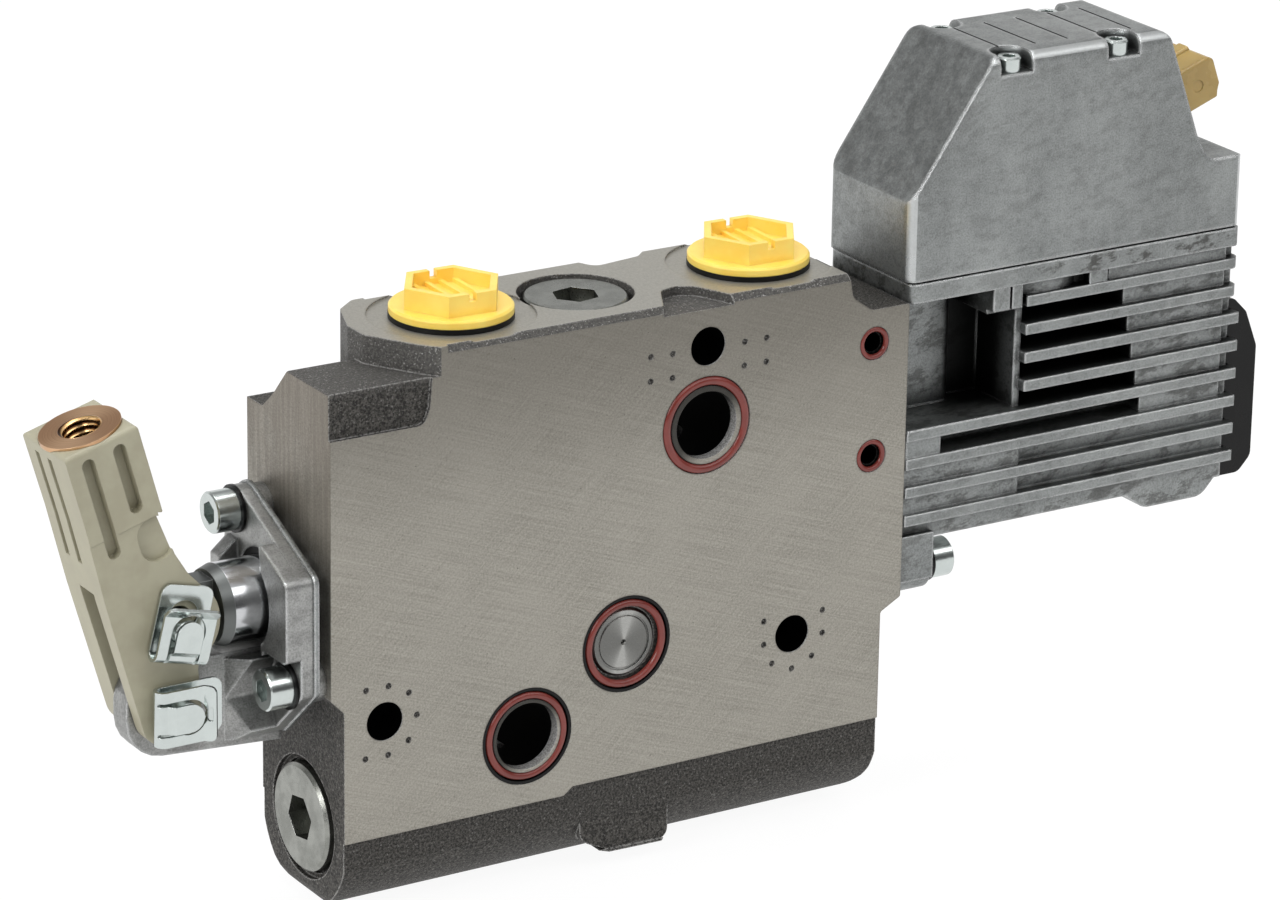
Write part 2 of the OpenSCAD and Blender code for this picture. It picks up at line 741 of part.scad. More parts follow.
// Lever, drawn upright about its pivot and then leaned away from the body
lever_left = -8.8;
lever_right = 9.9;
lever_back = 11.2;
lever_foot_left = lever_left - 0.6;
lever_mid_w = (lever_left + lever_right) / 2;
window_top = 34;
insert_r = 9.6;
insert_t = 1.2;
insert_l = 22;
thread_r = 4.25;
slot_w = pin_d / 2 + 0.35;
pin_w = pin_gap * sin(lever_lean);
pin_u = pin_gap * cos(lever_lean);

module lever_frame() {
  translate([pivot_x, mid_y, pivot_z]) rotate([0, -lever_lean, 0]) children();
}

module slot_y(w, u0, u1, width, y0, y1) {
  along_y(y0, y1) union() {
    translate([w - width / 2, u0 + width / 2]) square([width, u1 - u0 - width]);
    translate([w, u0 + width / 2]) circle(r = width / 2);
    translate([w, u1 - width / 2]) circle(r = width / 2);
  }
}

module lever_side() {
  translate([pin_w, pin_u]) circle(r = 10.9);
  polygon(rounded([
    [lever_left, lever_len, 1],
    [lever_left, 52, 0],
    [lever_foot_left, 32, 0],
    [lever_foot_left, -4, 6],
    [-5, -8.6, 5],
    [4.5, -8.6, 6],
    [7.4, 6.5, 3],
    [10, 14, 0],
    [pin_w + 8.8, pin_u + 6.2, 2],
    [11.6, window_top - 3.2, 5],
    [lever_right, window_top + 2.8, 2],
    [lever_right - 1.2, lever_len - 22.3, 0],
    [lever_right, lever_len - 22.9, 0.3],
    [lever_right, lever_len, 1]
  ]));
}

module lever() {
  half_top = lever_d / 2;
  half_foot = lever_foot_d / 2;
  half_step = half_foot + (half_top - half_foot) * (lever_len - 22.9) / lever_len;
  color("tan") lever_frame() difference() {
    intersection() {
      along_y(-half_top, lever_back) lever_side();
      along_x(lever_left - 2, pin_w + 14) polygon(rounded([
        [-half_top, lever_len, 1.2],
        [-half_step - 0.15, lever_len - 22.9, 0],
        [-half_step + 0.15, lever_len - 23, 0],
        [-half_foot, 0, 0],
        [-half_foot + 0.3, -12, 2],
        [lever_back - 0.3, -12, 2],
        [lever_back, lever_len, 1.2]
      ]));
    }
    // Gap between the cheeks
    along_y(-cheek_gap / 2, cheek_gap / 2) polygon(rounded([
      [lever_left - 3, window_top, 0],
      [pin_w + 2, window_top - 2.5, 3],
      [pin_w + 16, window_top - 6.5, 0],
      [pin_w + 16, -14, 0],
      [lever_left - 3, -14, 0]
    ]));
    // Pivot hole and the slots in which the spool pin rises and falls
    rod_y(0, 0, pin_d / 2 + run_clear, -half_top - 1, lever_back + 1);
    translate([pin_w, 0, pin_u]) rotate([0, lever_lean, 0])
      slot_y(0, -slot_w - 0.4, slot_w + 1.6, 2 * slot_w, -half_top - 1, lever_back + 1);
    // Moulded slots that lighten the upper part
    slot_y(lever_mid_w - 4.3, 42.4, lever_len - 2.4, 3.2, -half_top - 1, -half_top + 3.4);
    slot_y(lever_mid_w + 3.7, 50.6, lever_len - 2.4, 3.2, -half_top - 1, -half_top + 3.4);
    slot_y(lever_mid_w - 4.3, 42.4, lever_len - 2.4, 3.2, lever_back - 3.4, lever_back + 1);
    slot_y(lever_mid_w + 3.7, 50.6, lever_len - 2.4, 3.2, lever_back - 3.4, lever_back + 1);
    for (s = [-1, 1]) {
      slot_y(lever_right - 3.2, 36.8, 48, 8.6, s > 0 ? lever_back - 2.6 : -half_top - 1, s > 0 ? lever_back + 1 : -half_top + 2.6);
      translate([lever_left - 1, 2.3 + s * 3.1 - 1, 41]) cube([2.6, 2, lever_len - 44]);
    }
    // Seat of the threaded insert
    rod_z(lever_mid_w, 0, insert_r + 0.05, lever_len - insert_t + 0.6, lever_len + 1);
    rod_z(lever_mid_w, 0, 6.05, lever_len - insert_l - 0.5, lever_len + 1);
  }
}

module lever_insert() {
  top = lever_len + 0.6;
  color("peru") lever_frame() translate([lever_mid_w, 0, 0]) difference() {
    union() {
      rod_z(0, 0, insert_r, top - insert_t, top);
      rod_z(0, 0, 6, top - insert_l, top - insert_t);
    }
    rod_z(0, 0, thread_r, top - insert_l - 1, top + 1);
    translate([0, 0, top - 0.7]) cylinder(r1 = thread_r, r2 = thread_r + 0.75, h = 0.7 + eps);
  }
}

// Pins and their spring clips, drawn about the pin with the fold of the clip below it
clip_w = 13.4;
clip_fold = -6.8;
clip_back_top = 10.4;
clip_bend_r = 1.5;
clip_back_y = -lever_foot_d / 2 - 1.15;
clip_gap = 2 * clip_bend_r;
clip_leg_z = clip_fold + clip_bend_r;
lip_z = 4.2;
lip_l = 3.1;
groove_r = 2.5;
tongue_w = pin_d + 0.1;
tongue_rise = 1.4;

// Sheet of the clip as a flat plate, open at its fold and rounded at its free corners
module clip_sheet(y0, top, r) {
  along_y(y0, y0 + clip_t) polygon(rounded([
    [-clip_w / 2, clip_leg_z, 0], [clip_w / 2, clip_leg_z, 0], [clip_w / 2, top, r], [-clip_w / 2, top, r]
  ]));
}

// Spring tongue that lies on the end of the pin
module clip_tongue(front) {
  out = front - clip_t - tongue_rise;
  intersection() {
    along_x(-tongue_w / 2, tongue_w / 2) polygon([
      [front - clip_t, clip_leg_z],
      [front, clip_leg_z],
      [out + clip_t, -pin_d / 2 - 0.4],
      [out + clip_t, 6],
      [out, 6],
      [out, -pin_d / 2 - 0.7]
    ]);
    along_y(out - 1, front + 1) union() {
      circle(r = tongue_w / 2);
      translate([-tongue_w / 2, clip_leg_z]) square([tongue_w, -clip_leg_z]);
    }
  }
}

module spring_clip(lean) {
  back = clip_back_y - clip_t;
  front = back - clip_gap;
  rotate([0, lean, 0]) {
    difference() {
      union() {
        clip_sheet(back, clip_back_top, 2.4);
        clip_sheet(front - clip_t, lip_z, 0);
        // Fold that joins the two sheets
        translate([0, back - clip_bend_r, clip_leg_z]) difference() {
          rod_x(0, 0, clip_bend_r + clip_t, -clip_w / 2, clip_w / 2);
          rod_x(0, 0, clip_bend_r, -clip_w, clip_w);
          translate([-clip_w, -5, 0]) cube([2 * clip_w, 10, 5]);
        }
        // Lip bent forward at the free end, with a slot for a tool
        translate([0, front - clip_t / 2, lip_z - 0.2]) rotate([45, 0, 0]) along_y(-clip_t / 2, clip_t / 2) difference() {
          polygon(rounded([[-clip_w / 2, 0, 0], [clip_w / 2, 0, 0], [clip_w / 2, lip_l, 1.6], [-clip_w / 2, lip_l, 1.6]]));
          polygon(rounded(box_rows(-1.8, 0.9, 1.8, 2.3, 0.65)));
        }
      }
      // Keyhole that grips the groove of the pin
      rod_y(0, 0, groove_r + 0.12, back - 0.1, clip_back_y + 1);
      rod_y(0, 3.2, pin_d / 2 + 0.4, back - 0.1, clip_back_y + 1);
      // Opening round the tongue
      along_y(front - clip_t - 0.6, front + 0.6) union() {
        translate([0.2, 0.3]) circle(r = tongue_w / 2 + 0.9);
        translate([-tongue_w / 2 - 0.8, clip_fold - 3]) square([tongue_w + 1.6, -clip_fold + 3]);
      }
    }
    clip_tongue(front);
    // Foot of the tongue in the fold
    translate([0, back - clip_bend_r, clip_leg_z]) difference() {
      rod_x(0, 0, clip_bend_r + clip_t, -tongue_w / 2, tongue_w / 2);
      rod_x(0, 0, clip_bend_r, -clip_w, clip_w);
      translate([-clip_w, -5, 0]) cube([2 * clip_w, 10, 5]);
    }
  }
}

module clip_pin() {
  head = 1.6;
  back_y = lever_back + 0.8;
  front_y = clip_back_y - clip_t - clip_gap - clip_t - tongue_rise + clip_t + 0.02;
  difference() {
    union() {
      rod_y(0, 0, pin_d / 2, front_y + 0.6, back_y);
      translate([0, front_y, 0]) rotate([-90, 0, 0]) cylinder(r1 = pin_d / 2 - 0.6, r2 = pin_d / 2, h = 0.6);
      rod_y(0, 0, pin_d / 2 + 1.2, back_y, back_y + head);
    }
    // Groove for the keyhole of the clip
    difference() {
      rod_y(0, 0, pin_d, clip_back_y - clip_t - 0.06, clip_back_y + 0.06);
      rod_y(0, 0, groove_r, clip_back_y - 5, clip_back_y + 5);
    }
  }
}

module pivot_pin() {
  color("lightgray") translate([pivot_x, mid_y, pivot_z]) clip_pin();
}

module pivot_clip() {
  color("gainsboro") translate([pivot_x, mid_y, pivot_z]) spring_clip(90);
}

module spool_pin() {
  color("lightgray") translate([pivot_x, mid_y, spool_z]) clip_pin();
}

module spool_clip() {
  color("gainsboro") translate([pivot_x, mid_y, spool_z]) spring_clip(13.9);
}

// Plunger and spool
plunger_right = -body_left + 4.5;
stub_r = 4;
stub_l = 12;
eye_r = 7.5;
spool_r = spool_d / 2;
spool_right = body_right - spool_travel - 0.3;
cup_x = body_right + 40;
cup_t = 2;
stem_end = cup_x + cup_t + 3;
land_gaps = [[-67, 7], [-48, 8], [-19, 20], [12, 8], [31, 7]];

module plunger() {
  color("dimgray") difference() {
    union() {
      rod_x(mid_y, spool_z, plunger_r, plunger_left + 2.6, plunger_right - 0.8);
      translate([plunger_left, mid_y, spool_z]) rotate([0, 90, 0])
        cylinder(r1 = plunger_r - 0.9, r2 = plunger_r, h = 2.6);
      translate([plunger_right - 0.8, mid_y, spool_z]) rotate([0, 90, 0])
        cylinder(r1 = plunger_r, r2 = plunger_r - 0.8, h = 0.8);
      along_y(mid_y - tongue_t / 2, mid_y + tongue_t / 2) union() {
        translate([pivot_x, spool_z]) circle(r = eye_r);
        translate([pivot_x, spool_z - eye_r]) square([plunger_left - pivot_x + 2, 2 * eye_r]);
      }
    }
    rod_y(pivot_x, spool_z, pin_d / 2 + run_clear, 0, body_d);
    rod_x(mid_y, spool_z, stub_r + run_clear, plunger_right - stub_l - 1, plunger_right + 1);
  }
}

module main_spool() {
  color("lightsteelblue") difference() {
    union() {
      rod_x(mid_y, spool_z, stub_r, plunger_right - stub_l, plunger_right);
      rod_x(mid_y, spool_z, spool_r, plunger_right, spool_right);
      rod_x(mid_y, spool_z, stub_r, spool_right, cup_x + cup_t);
      rod_x(mid_y, spool_z, 5.5, cup_x + cup_t, stem_end);
    }
    for (g = land_gaps) difference() {
      rod_x(mid_y, spool_z, spool_r + 1, g[0] - g[1] / 2, g[0] + g[1] / 2);
      rod_x(mid_y, spool_z, spool_r - 3, g[0] - g[1], g[0] + g[1]);
    }
    rod_x(mid_y, spool_z, 1.6 + run_clear, stem_end - 6, stem_end + 1);
  }
}

// Centring spring between a cup on the body and a cup on the spool
module inner_spring_cup() {
  color("gray") difference() {
    rod_x(mid_y, spool_z, chamber_bore_r - 0.3, body_right + gasket_t + 0.1, body_right + gasket_t + 0.1 + cup_t);
    rod_x(mid_y, spool_z, stub_r + 0.5, body_right, body_right + 10);
  }
}

module outer_spring_cup() {
  color("gray") difference() {
    rod_x(mid_y, spool_z, chamber_bore_r - 0.5, cup_x, cup_x + cup_t);
    rod_x(mid_y, spool_z, stub_r + run_clear, cup_x - 1, cup_x + cup_t + 1);
  }
}

module centring_spring() {
  from = body_right + gasket_t + 0.1 + cup_t;
  color("gainsboro") translate([from, mid_y, spool_z]) rotate([0, 90, 0])
    coil(7.4, 1.5, 0, cup_x - from, 8, 14, 6);
}

// Actuator housing
ax0 = body_right + gasket_t;
ax1 = body_right + housing_l;
fin_proud = 3;
core_y0 = fin_proud;
core_y1 = housing_d - fin_proud;
core_x1 = ax1 - 0.3;
core_bottom = fin_top_z - (fin_count - 1) * fin_pitch - 6.4;
plate_bottom = plate_z - plate_t;
chamber_bore_r = 9.5;
sensor_r = 6.5;
sensor_x = stem_end + spool_travel + 0.8;
window_x1 = ax0 + 34;
window_deep = 19;
boss_face_y = 15;
boss_end_x = ax0 + 22.5;
window_z0 = fin_top_z - 4 * fin_pitch + fin_t / 2;
louvre_deep = 11;
lug_x1 = ax0 + 9.4;
ring_t = 2.2;
cover_screw_d = 3.65;
cover_screw_x = [ax0 + 28.3, ax0 + 59.8];
cover_screw_in = 3.7;
cover_screw_y = [cover_screw_in, housing_d - cover_screw_in];
cover_screw_bite = 3.9;

function fin_z(k) = fin_top_z - k * fin_pitch;

module fin(k) {
  x0 = k < 4 ? window_x1 : ax0;
  x1 = k < 2 ? ax1 + 0.2 : ax1 + 1;
  r = k < 2 ? 2.5 : 0.6;
  translate([0, 0, fin_z(k) - fin_t / 2]) linear_extrude(fin_t)
    polygon(rounded([[x0, 0, 0], [x1, 0, r], [x1, housing_d, r], [x0, housing_d, 0]]));
}

// Cast form between the top plate and the first fin
module plate_pillars() {
  z0 = fin_top_z - fin_t / 2;
  h = plate_bottom - z0 + 0.5;
  for (p = [[window_x1 - 9.7, 4.7], [window_x1 - 4.3, 3], [window_x1 + 18.6, 5.4]])
    translate([p[0], 0.3, z0]) cube([p[1], 4, h]);
  translate([window_x1 + 24.8, 1, z0]) cube([core_x1 - window_x1 - 28, 4, h]);
  intersection() {
    rod_z(window_x1 + 7, 20.4, 19.5, z0, z0 + h);
    translate([window_x1 - 1, 0, z0]) cube([17, 5, h]);
  }
}

module actuator_housing() {
  color("darkgray") difference() {
    union() {
      translate([0, 0, plate_bottom]) linear_extrude(plate_t)
        polygon(rounded(box_rows(ax0, 0, ax1, housing_d, 2)));
      translate([ax0, core_y0, core_bottom]) cube([core_x1 - ax0, core_y1 - core_y0, plate_bottom - core_bottom]);
      for (k = [0 : fin_count - 1]) fin(k);
      plate_pillars();
      // Walls flush with the fins at the end beside the body
      for (k = [4 : fin_count - 2])
        translate([ax0, k == 4 ? 0.4 : 1.2, fin_z(k + 1)]) cube([k == 4 ? 10 : 34, 4, fin_pitch]);
      for (k = [4 : fin_count - 2]) mirror_y()
        translate([ax0, k == 4 ? 0.4 : 1.2, fin_z(k + 1)]) cube([k == 4 ? 10 : 34, 4, fin_pitch]);
      // Raised wall beyond the louvres
      for (k = [0 : 4]) translate([louvre_end(k), 1.6, fin_z(k + 1)]) cube([core_x1 - 3 - louvre_end(k), 3, fin_pitch]);
      // Lump under the coil end
      along_y(core_y0, core_y1) polygon(rounded([
        [ax1 - 32, core_bottom + 2, 0],
        [ax1 - 24, core_bottom - 4.2, 5],
        [ax1 - 6, core_bottom - 4.2, 5],
        [core_x1, core_bottom + 2, 0]
      ]));
      // Lugs for the screws
      for (p = actuator_screw_spots) {
        y = min(p[0] - 7, housing_d - 14.6);
        translate([ax0, y, p[1] - 2]) cube([lug_x1 - ax0, 13.8, core_bottom - p[1] + 4]);
        translate([body_right, y, p[1] - 2]) cube([lug_x1 - body_right, 13.8, core_bottom - p[1] + 2]);
        rod_x(p[0], p[1], 6.4, body_right, lug_x1);
      }
    }
    // Window with an inner boss beside the body and a deeper part beyond it
    translate([0, 0, window_z0]) linear_extrude(plate_bottom - window_z0) polygon(rounded([
      [ax0 - 1, -1, 0],
      [window_x1 - 9.7, -1, 0],
      [window_x1 - 9.7, window_deep, 0],
      [boss_end_x, window_deep, 0],
      [boss_end_x, boss_face_y, 2.5],
      [ax0 - 1, boss_face_y, 0]
    ]));
    translate([boss_end_x, -1, window_z0])
      cube([window_x1 - boss_end_x - 1.2, window_deep + 1, fin_top_z - fin_t / 2 - 1.2 - window_z0]);
    // Louvres between the fins
    for (k = [0 : 4]) {
      x0 = k == 4 ? ax0 + 10 : window_x1 + 0.6;
      translate([x0, -1, fin_z(k + 1) + fin_t / 2])
        cube([louvre_end(k) - x0, (k == 4 ? 8 : louvre_deep) + 1, fin_pitch - fin_t]);
    }
    // Spring chamber, sensor bore and stem bore
    rod_x(mid_y, spool_z, chamber_bore_r, ax0 - 1, sensor_x);
    rod_x(mid_y, spool_z, sensor_r + 0.1, sensor_x - 1, core_x1 + 1);
    // Seat of the end cap
    translate([core_x1, core_y0, core_bottom - 6]) cube([6, core_y1 - core_y0, plate_bottom - core_bottom - 8]);
    for (p = actuator_screw_spots) rod_x(p[0], p[1], screw_size / 2 + 0.3, body_right - 1, lug_x1 + 1);
    for (x = cover_screw_x, y = cover_screw_y) rod_z(x, y, cover_screw_d / 2, plate_z - cover_screw_bite - 0.3, plate_z + 1);
  }
}

function louvre_end(k) = ax0 + 64 + 1.6 * k;

module mirror_y() {
  translate([0, housing_d, 0]) mirror([0, 1, 0]) children();
}

module housing_gasket() {
  color("black") difference() {
    along_x(body_right, ax0) polygon(rounded([
      [1, plate_bottom - 0.5, 0],
      [1, core_bottom + 0.5, 2],
      [housing_d - 1, core_bottom + 0.5, 2],
      [housing_d - 1, plate_bottom - 0.5, 0]
    ]));
    rod_x(mid_y, spool_z, chamber_bore_r, body_right - 1, ax0 + 1);
  }
}

module actuator_screws() {
  length = lug_x1 - body_right + ring_t + screw_bite;
  color("silver") for (p = actuator_screw_spots)
    translate([lug_x1 + ring_t, p[0], p[1]]) mirror([1, 0, 0]) cap_screw(screw_size, length);
}

module actuator_washers() {
  color("black") for (p = actuator_screw_spots) difference() {
    rod_x(p[0], p[1], 5.3, lug_x1, lug_x1 + ring_t);
    rod_x(p[0], p[1], screw_size / 2 + 0.2, lug_x1 - 1, lug_x1 + 3);
  }
}

module position_sensor() {
  color("dimgray") difference() {
    rod_x(mid_y, spool_z, sensor_r, sensor_x, core_x1);
    rod_x(mid_y, spool_z, 2.4, sensor_x - 1, core_x1 - 4);
  }
}

module sensor_core() {
  color("silver") rod_x(mid_y, spool_z, 1.6, stem_end - 6, stem_end + 28);
}

// Room for the coils and the board between the screw pillars of the cover
pillar_r = 6;
pillar_d = 10.4;
room_gap = 0.4;
board_t = 1.6;
board_y = housing_d - pillar_d - 2 * room_gap - board_t;
coil_room = board_y - pillar_d - 2 * room_gap;
slope_x0 = ax1 - 25.2;
coil_first = 16;
coil_last = 6;
coil_pitch = (slope_x0 - coil_last - ax0 - coil_first) / 3;
coil_spots = [for (i = [0 : 3]) ax0 + coil_first + coil_pitch * i];
coil_y = pillar_d + room_gap + coil_room / 2;
coil_h = 25;
coil_gap = 0.3;
coil_r = coil_room / 2 - coil_gap;
coil_wind = 3;
coil_end_t = 4;
yoke_lift = 7;
yoke_gap = 0.05;
yoke_side_t = 1.2;
yoke_top_t = 1.45;
yoke_half = coil_r + coil_gap + yoke_side_t;

module pilot_coils() {
  color("saddlebrown") for (x = coil_spots) difference() {
    rod_z(x, coil_y, coil_r, plate_z, plate_z + coil_h);
    rod_z(x, coil_y, coil_r - coil_wind, plate_z - 1, plate_z + coil_h - coil_end_t);
  }
}

module coil_yokes() {
  color("gray") for (x = coil_spots) difference() {
    translate([x - yoke_half, coil_y - coil_room / 2 + 0.1, plate_z + yoke_lift])
      cube([2 * yoke_half, coil_room - 0.2, coil_h + yoke_gap + yoke_top_t - yoke_lift]);
    translate([x - coil_r - coil_gap, 0, plate_z + yoke_lift - 1])
      cube([2 * (coil_r + coil_gap), housing_d, coil_h + yoke_gap - yoke_lift + 1]);
  }
}

module circuit_board() {
  color("darkgreen") translate([ax0 + 14, board_y, plate_z])
    cube([slope_x0 - ax0 - 21, board_t, cover_h * 0.62]);
}

// Electronics cover
cover_z0 = plate_z + gasket_t;
cover_z1 = cover_z0 + cover_h;
cover_x0 = ax0 - 1;
slope_x1 = ax1 - 14.9;
slope_z1 = cover_z0 + 24.6;
step_top_z = cover_z0 + 18.2;
shoulder_z = cover_z0 + 19.8;
roof_x0 = ax0 + 22;
cover_ledge_z = cover_z1 - 4.8;
pocket_r = 4.7;

module cover_side(inset) {
  polygon(rounded([
    [cover_x0 + inset, cover_z0, 0],
    [cover_x0 + inset, shoulder_z, 1.5],
    [roof_x0 + inset, cover_z1 - inset, 3],
    [slope_x0 - inset * 0.7, cover_z1 - inset, 4],
    [slope_x1 - inset, slope_z1, 0],
    [slope_x1 + 3 - inset, slope_z1 - 5.4, 4],
    [slope_x1 + 5.5 - inset, step_top_z - inset, 1],
    [ax1 - inset, step_top_z - inset, 1.4],
    [ax1 - inset, cover_z0, 0]
  ]));
}

module cover_form(inset, r) {
  intersection() {
    along_y(inset, housing_d - inset) cover_side(inset);
    along_x(cover_x0, ax1) polygon(rounded([
      [inset, cover_z0, 0], [housing_d - inset, cover_z0, 0],
      [housing_d - inset, cover_z1 - inset, r], [inset, cover_z1 - inset, r]
    ]));
    translate([0, 0, cover_z0]) linear_extrude(cover_h)
      polygon(rounded(box_rows(cover_x0 + inset, inset, ax1 - inset, housing_d - inset, r)));
  }
}

// Connector frame: out of the sloping end of the cover, with its middle on the slope
slope_lean = atan((slope_x1 - slope_x0) / (cover_z1 - slope_z1));
plug_w = 19.6;
plug_h = 11.2;
plug_out = 14.7;
plug_drop = -7.3;
pin_ys = [-4.5, -1.5, 1.5, 4.5];
pin_zs = [0];

module connector_frame() {
  translate([(slope_x0 + slope_x1) / 2, housing_d / 2, (cover_z1 + slope_z1) / 2])
    rotate([0, -slope_lean, 0]) translate([0, 0, plug_drop]) children();
}

module electronics_cover() {
  color("silver") difference() {
    cover_form(0, 2.8);
    difference() {
      translate([0, 0, -eps]) cover_form(cover_t, 1.5);
      for (x = cover_screw_x, s = [0, 1]) translate([x - pillar_r, s * (housing_d - pillar_d), cover_z0])
        cube([2 * pillar_r, pillar_d, cover_h]);
    }
    // Pockets and holes for the screws
    for (x = cover_screw_x, s = [0, 1]) {
      y = cover_screw_y[s];
      rod_z(x, y, pocket_r, cover_ledge_z, cover_z1 + 1);
      translate([x - pocket_r, s == 0 ? -1 : y, cover_ledge_z]) cube([2 * pocket_r, cover_screw_in + 1, 8]);
      rod_z(x, y, cover_screw_d / 2 + 0.2, cover_z0 - 1, cover_z1);
    }
    // Cooling grooves on the roof
    for (i = [0 : 4]) translate([roof_x0 + 6 + 9.4 * i, 6, cover_z1 - 0.45]) cube([0.6, housing_d - 14, 2]);
    connector_frame() translate([-12, -plug_w / 2 - 0.2, -plug_h / 2 - 0.2]) cube([20, plug_w + 0.4, plug_h + 0.4]);
  }
}

module cover_gasket() {
  color("black") translate([0, 0, plate_z]) linear_extrude(gasket_t) difference() {
    polygon(rounded(box_rows(ax0 + 0.6, 0.6, ax1 - 0.6, housing_d - 0.6, 2)));
    polygon(rounded(box_rows(ax0 + cover_t, cover_t, ax1 - cover_t, housing_d - cover_t, 1)));
    for (x = cover_screw_x, y = cover_screw_y) translate([x, y]) circle(r = cover_screw_d / 2 + 0.2);
  }
}

module cover_screws() {
  length = cover_ledge_z - plate_z + cover_screw_bite;
  color("silver") for (x = cover_screw_x, y = cover_screw_y)
    translate([x, y, cover_ledge_z]) rotate([0, 90, 0]) cap_screw(cover_screw_d, length);
}

module connector_shell() {
  color("burlywood") connector_frame() difference() {
    union() {
      intersection() {
        along_y(-plug_w / 2, plug_w / 2) polygon(rounded([
          [-5, -plug_h / 2, 0],
          [plug_out - 1.7, -plug_h / 2, 0.5],
          [plug_out - 1.1, -plug_h / 2 + 1.6, 0.4],
          [plug_out, -plug_h / 2 + 3.4, 0.5],
          [plug_out, plug_h / 2, 1.8],
          [-5, plug_h / 2, 0]
        ]));
        along_x(-6, plug_out + 1) polygon(rounded(box_rows(-plug_w / 2, -plug_h / 2, plug_w / 2, plug_h / 2, 0.6)));
      }
      // Catch on the upper side near the mouth
      along_x(plug_out - 6.5, plug_out - 1.2) polygon(rounded([
        [-2.2, plug_h / 2 - 1, 0], [2.2, plug_h / 2 - 1, 0], [2.2, plug_h / 2 + 0.9, 0.8], [-2.2, plug_h / 2 + 0.9, 0.8]
      ]));
    }
    translate([3, -plug_w / 2 + 1.6, -plug_h / 2 + 1.6]) cube([plug_out, plug_w - 3.2, plug_h - 3.2]);
    for (y = pin_ys, z = pin_zs) rod_x(y, z, 0.65, -7, 4);
    // Round mould mark on the front side
    rod_y(plug_out - 6, -0.2, 1.5, -plug_w / 2 - 1, -plug_w / 2 + 0.2);
  }
}

module connector_pins() {
  color("goldenrod") connector_frame() for (y = pin_ys, z = pin_zs) rod_x(y, z, 0.6, -7.5, plug_out - 4);
}

module end_cap() {
  cap_y0 = core_y0 + 0.4;
  cap_y1 = core_y1 - 0.4;
  left = core_x1;
  right = ax1 + 9.4;
  color("black") difference() {
    along_y(cap_y0, cap_y1) polygon(rounded([
      [left, 5.4, 0],
      [left + 2, 5.4, 2],
      [left + 6, 1.4, 2],
      [right, -8, 3],
      [right, -37.2, 3],
      [left + 6, core_bottom, 3],
      [left, core_bottom, 0]
    ]));
    translate([left - 1, cap_y0 + 2, -36]) cube([right - left - 1, cap_y1 - cap_y0 - 4, 34]);
  }
}

valve_body();
gallery_seals();
signal_seals();
backup_rings();
gallery_plug();
port_plug_a();
port_plug_b();
port_seal_a();
port_seal_b();
check_plug();
check_plug_seal();
check_poppet();
check_spring();
compensator_plug();
compensator_seal();
compensator_piston();
compensator_spring();
lever_base();
lever_base_plate();
lever_base_screws();
lever_base_washers();
plunger_seal();
lever();
lever_insert();
pivot_pin();
pivot_clip();
spool_pin();
spool_clip();
plunger();
main_spool();
centring_spring();
inner_spring_cup();
outer_spring_cup();
actuator_housing();
housing_gasket();
actuator_screws();
actuator_washers();
position_sensor();
sensor_core();
pilot_coils();
coil_yokes();
circuit_board();
electronics_cover();
cover_gasket();
cover_screws();
connector_shell();
connector_pins();
end_cap();
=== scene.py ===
"""Looks of a hydraulic control valve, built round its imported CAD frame. Units are metres."""

import json
import math

import bpy
from mathutils import Matrix, Vector


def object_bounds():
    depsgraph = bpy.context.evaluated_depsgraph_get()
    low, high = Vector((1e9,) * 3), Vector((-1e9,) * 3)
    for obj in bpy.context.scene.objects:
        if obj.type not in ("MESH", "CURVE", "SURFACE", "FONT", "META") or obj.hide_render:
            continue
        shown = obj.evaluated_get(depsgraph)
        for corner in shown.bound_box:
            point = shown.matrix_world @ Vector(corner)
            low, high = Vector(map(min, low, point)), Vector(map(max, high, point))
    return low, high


MM = 0.001
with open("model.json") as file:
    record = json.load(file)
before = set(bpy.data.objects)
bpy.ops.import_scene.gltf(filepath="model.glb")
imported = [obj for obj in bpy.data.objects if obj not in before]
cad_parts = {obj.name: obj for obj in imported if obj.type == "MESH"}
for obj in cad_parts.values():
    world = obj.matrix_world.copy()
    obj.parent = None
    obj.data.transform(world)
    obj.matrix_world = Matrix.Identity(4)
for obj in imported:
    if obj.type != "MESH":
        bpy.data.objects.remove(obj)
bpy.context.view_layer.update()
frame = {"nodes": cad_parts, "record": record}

# Camera: where the photograph was taken from, its axes and its lens
EYE = Vector((-668.8, -1040.8, 434.6)) * MM
RIGHT = Vector((0.85079, -0.52528, 0.01531))
UP = Vector((0.16418, 0.29336, 0.94181))
AHEAD = Vector((0.49920, 0.79876, -0.33583))
LENS = 157.27
SENSOR = 36.0
NEAREST = 0.05
FARTHEST = 40

# Inputs and output of a mix node for each kind of value
MIX_SOCKETS = {"FLOAT": (2, 3, 0), "VECTOR": (4, 5, 1), "RGBA": (6, 7, 2)}

# Part of a normal along an axis, over which a face counts as square to it, and its soft range
FLAT = 0.97
FLAT_SOFT = 0.02

# Cast body: its middle plane, the deck's height and its two machined ends
BODY_MID_Y = 0.02
DECK_Z = 0.0301
LEFT_END_X = -0.1002
RIGHT_END_X = 0.0565

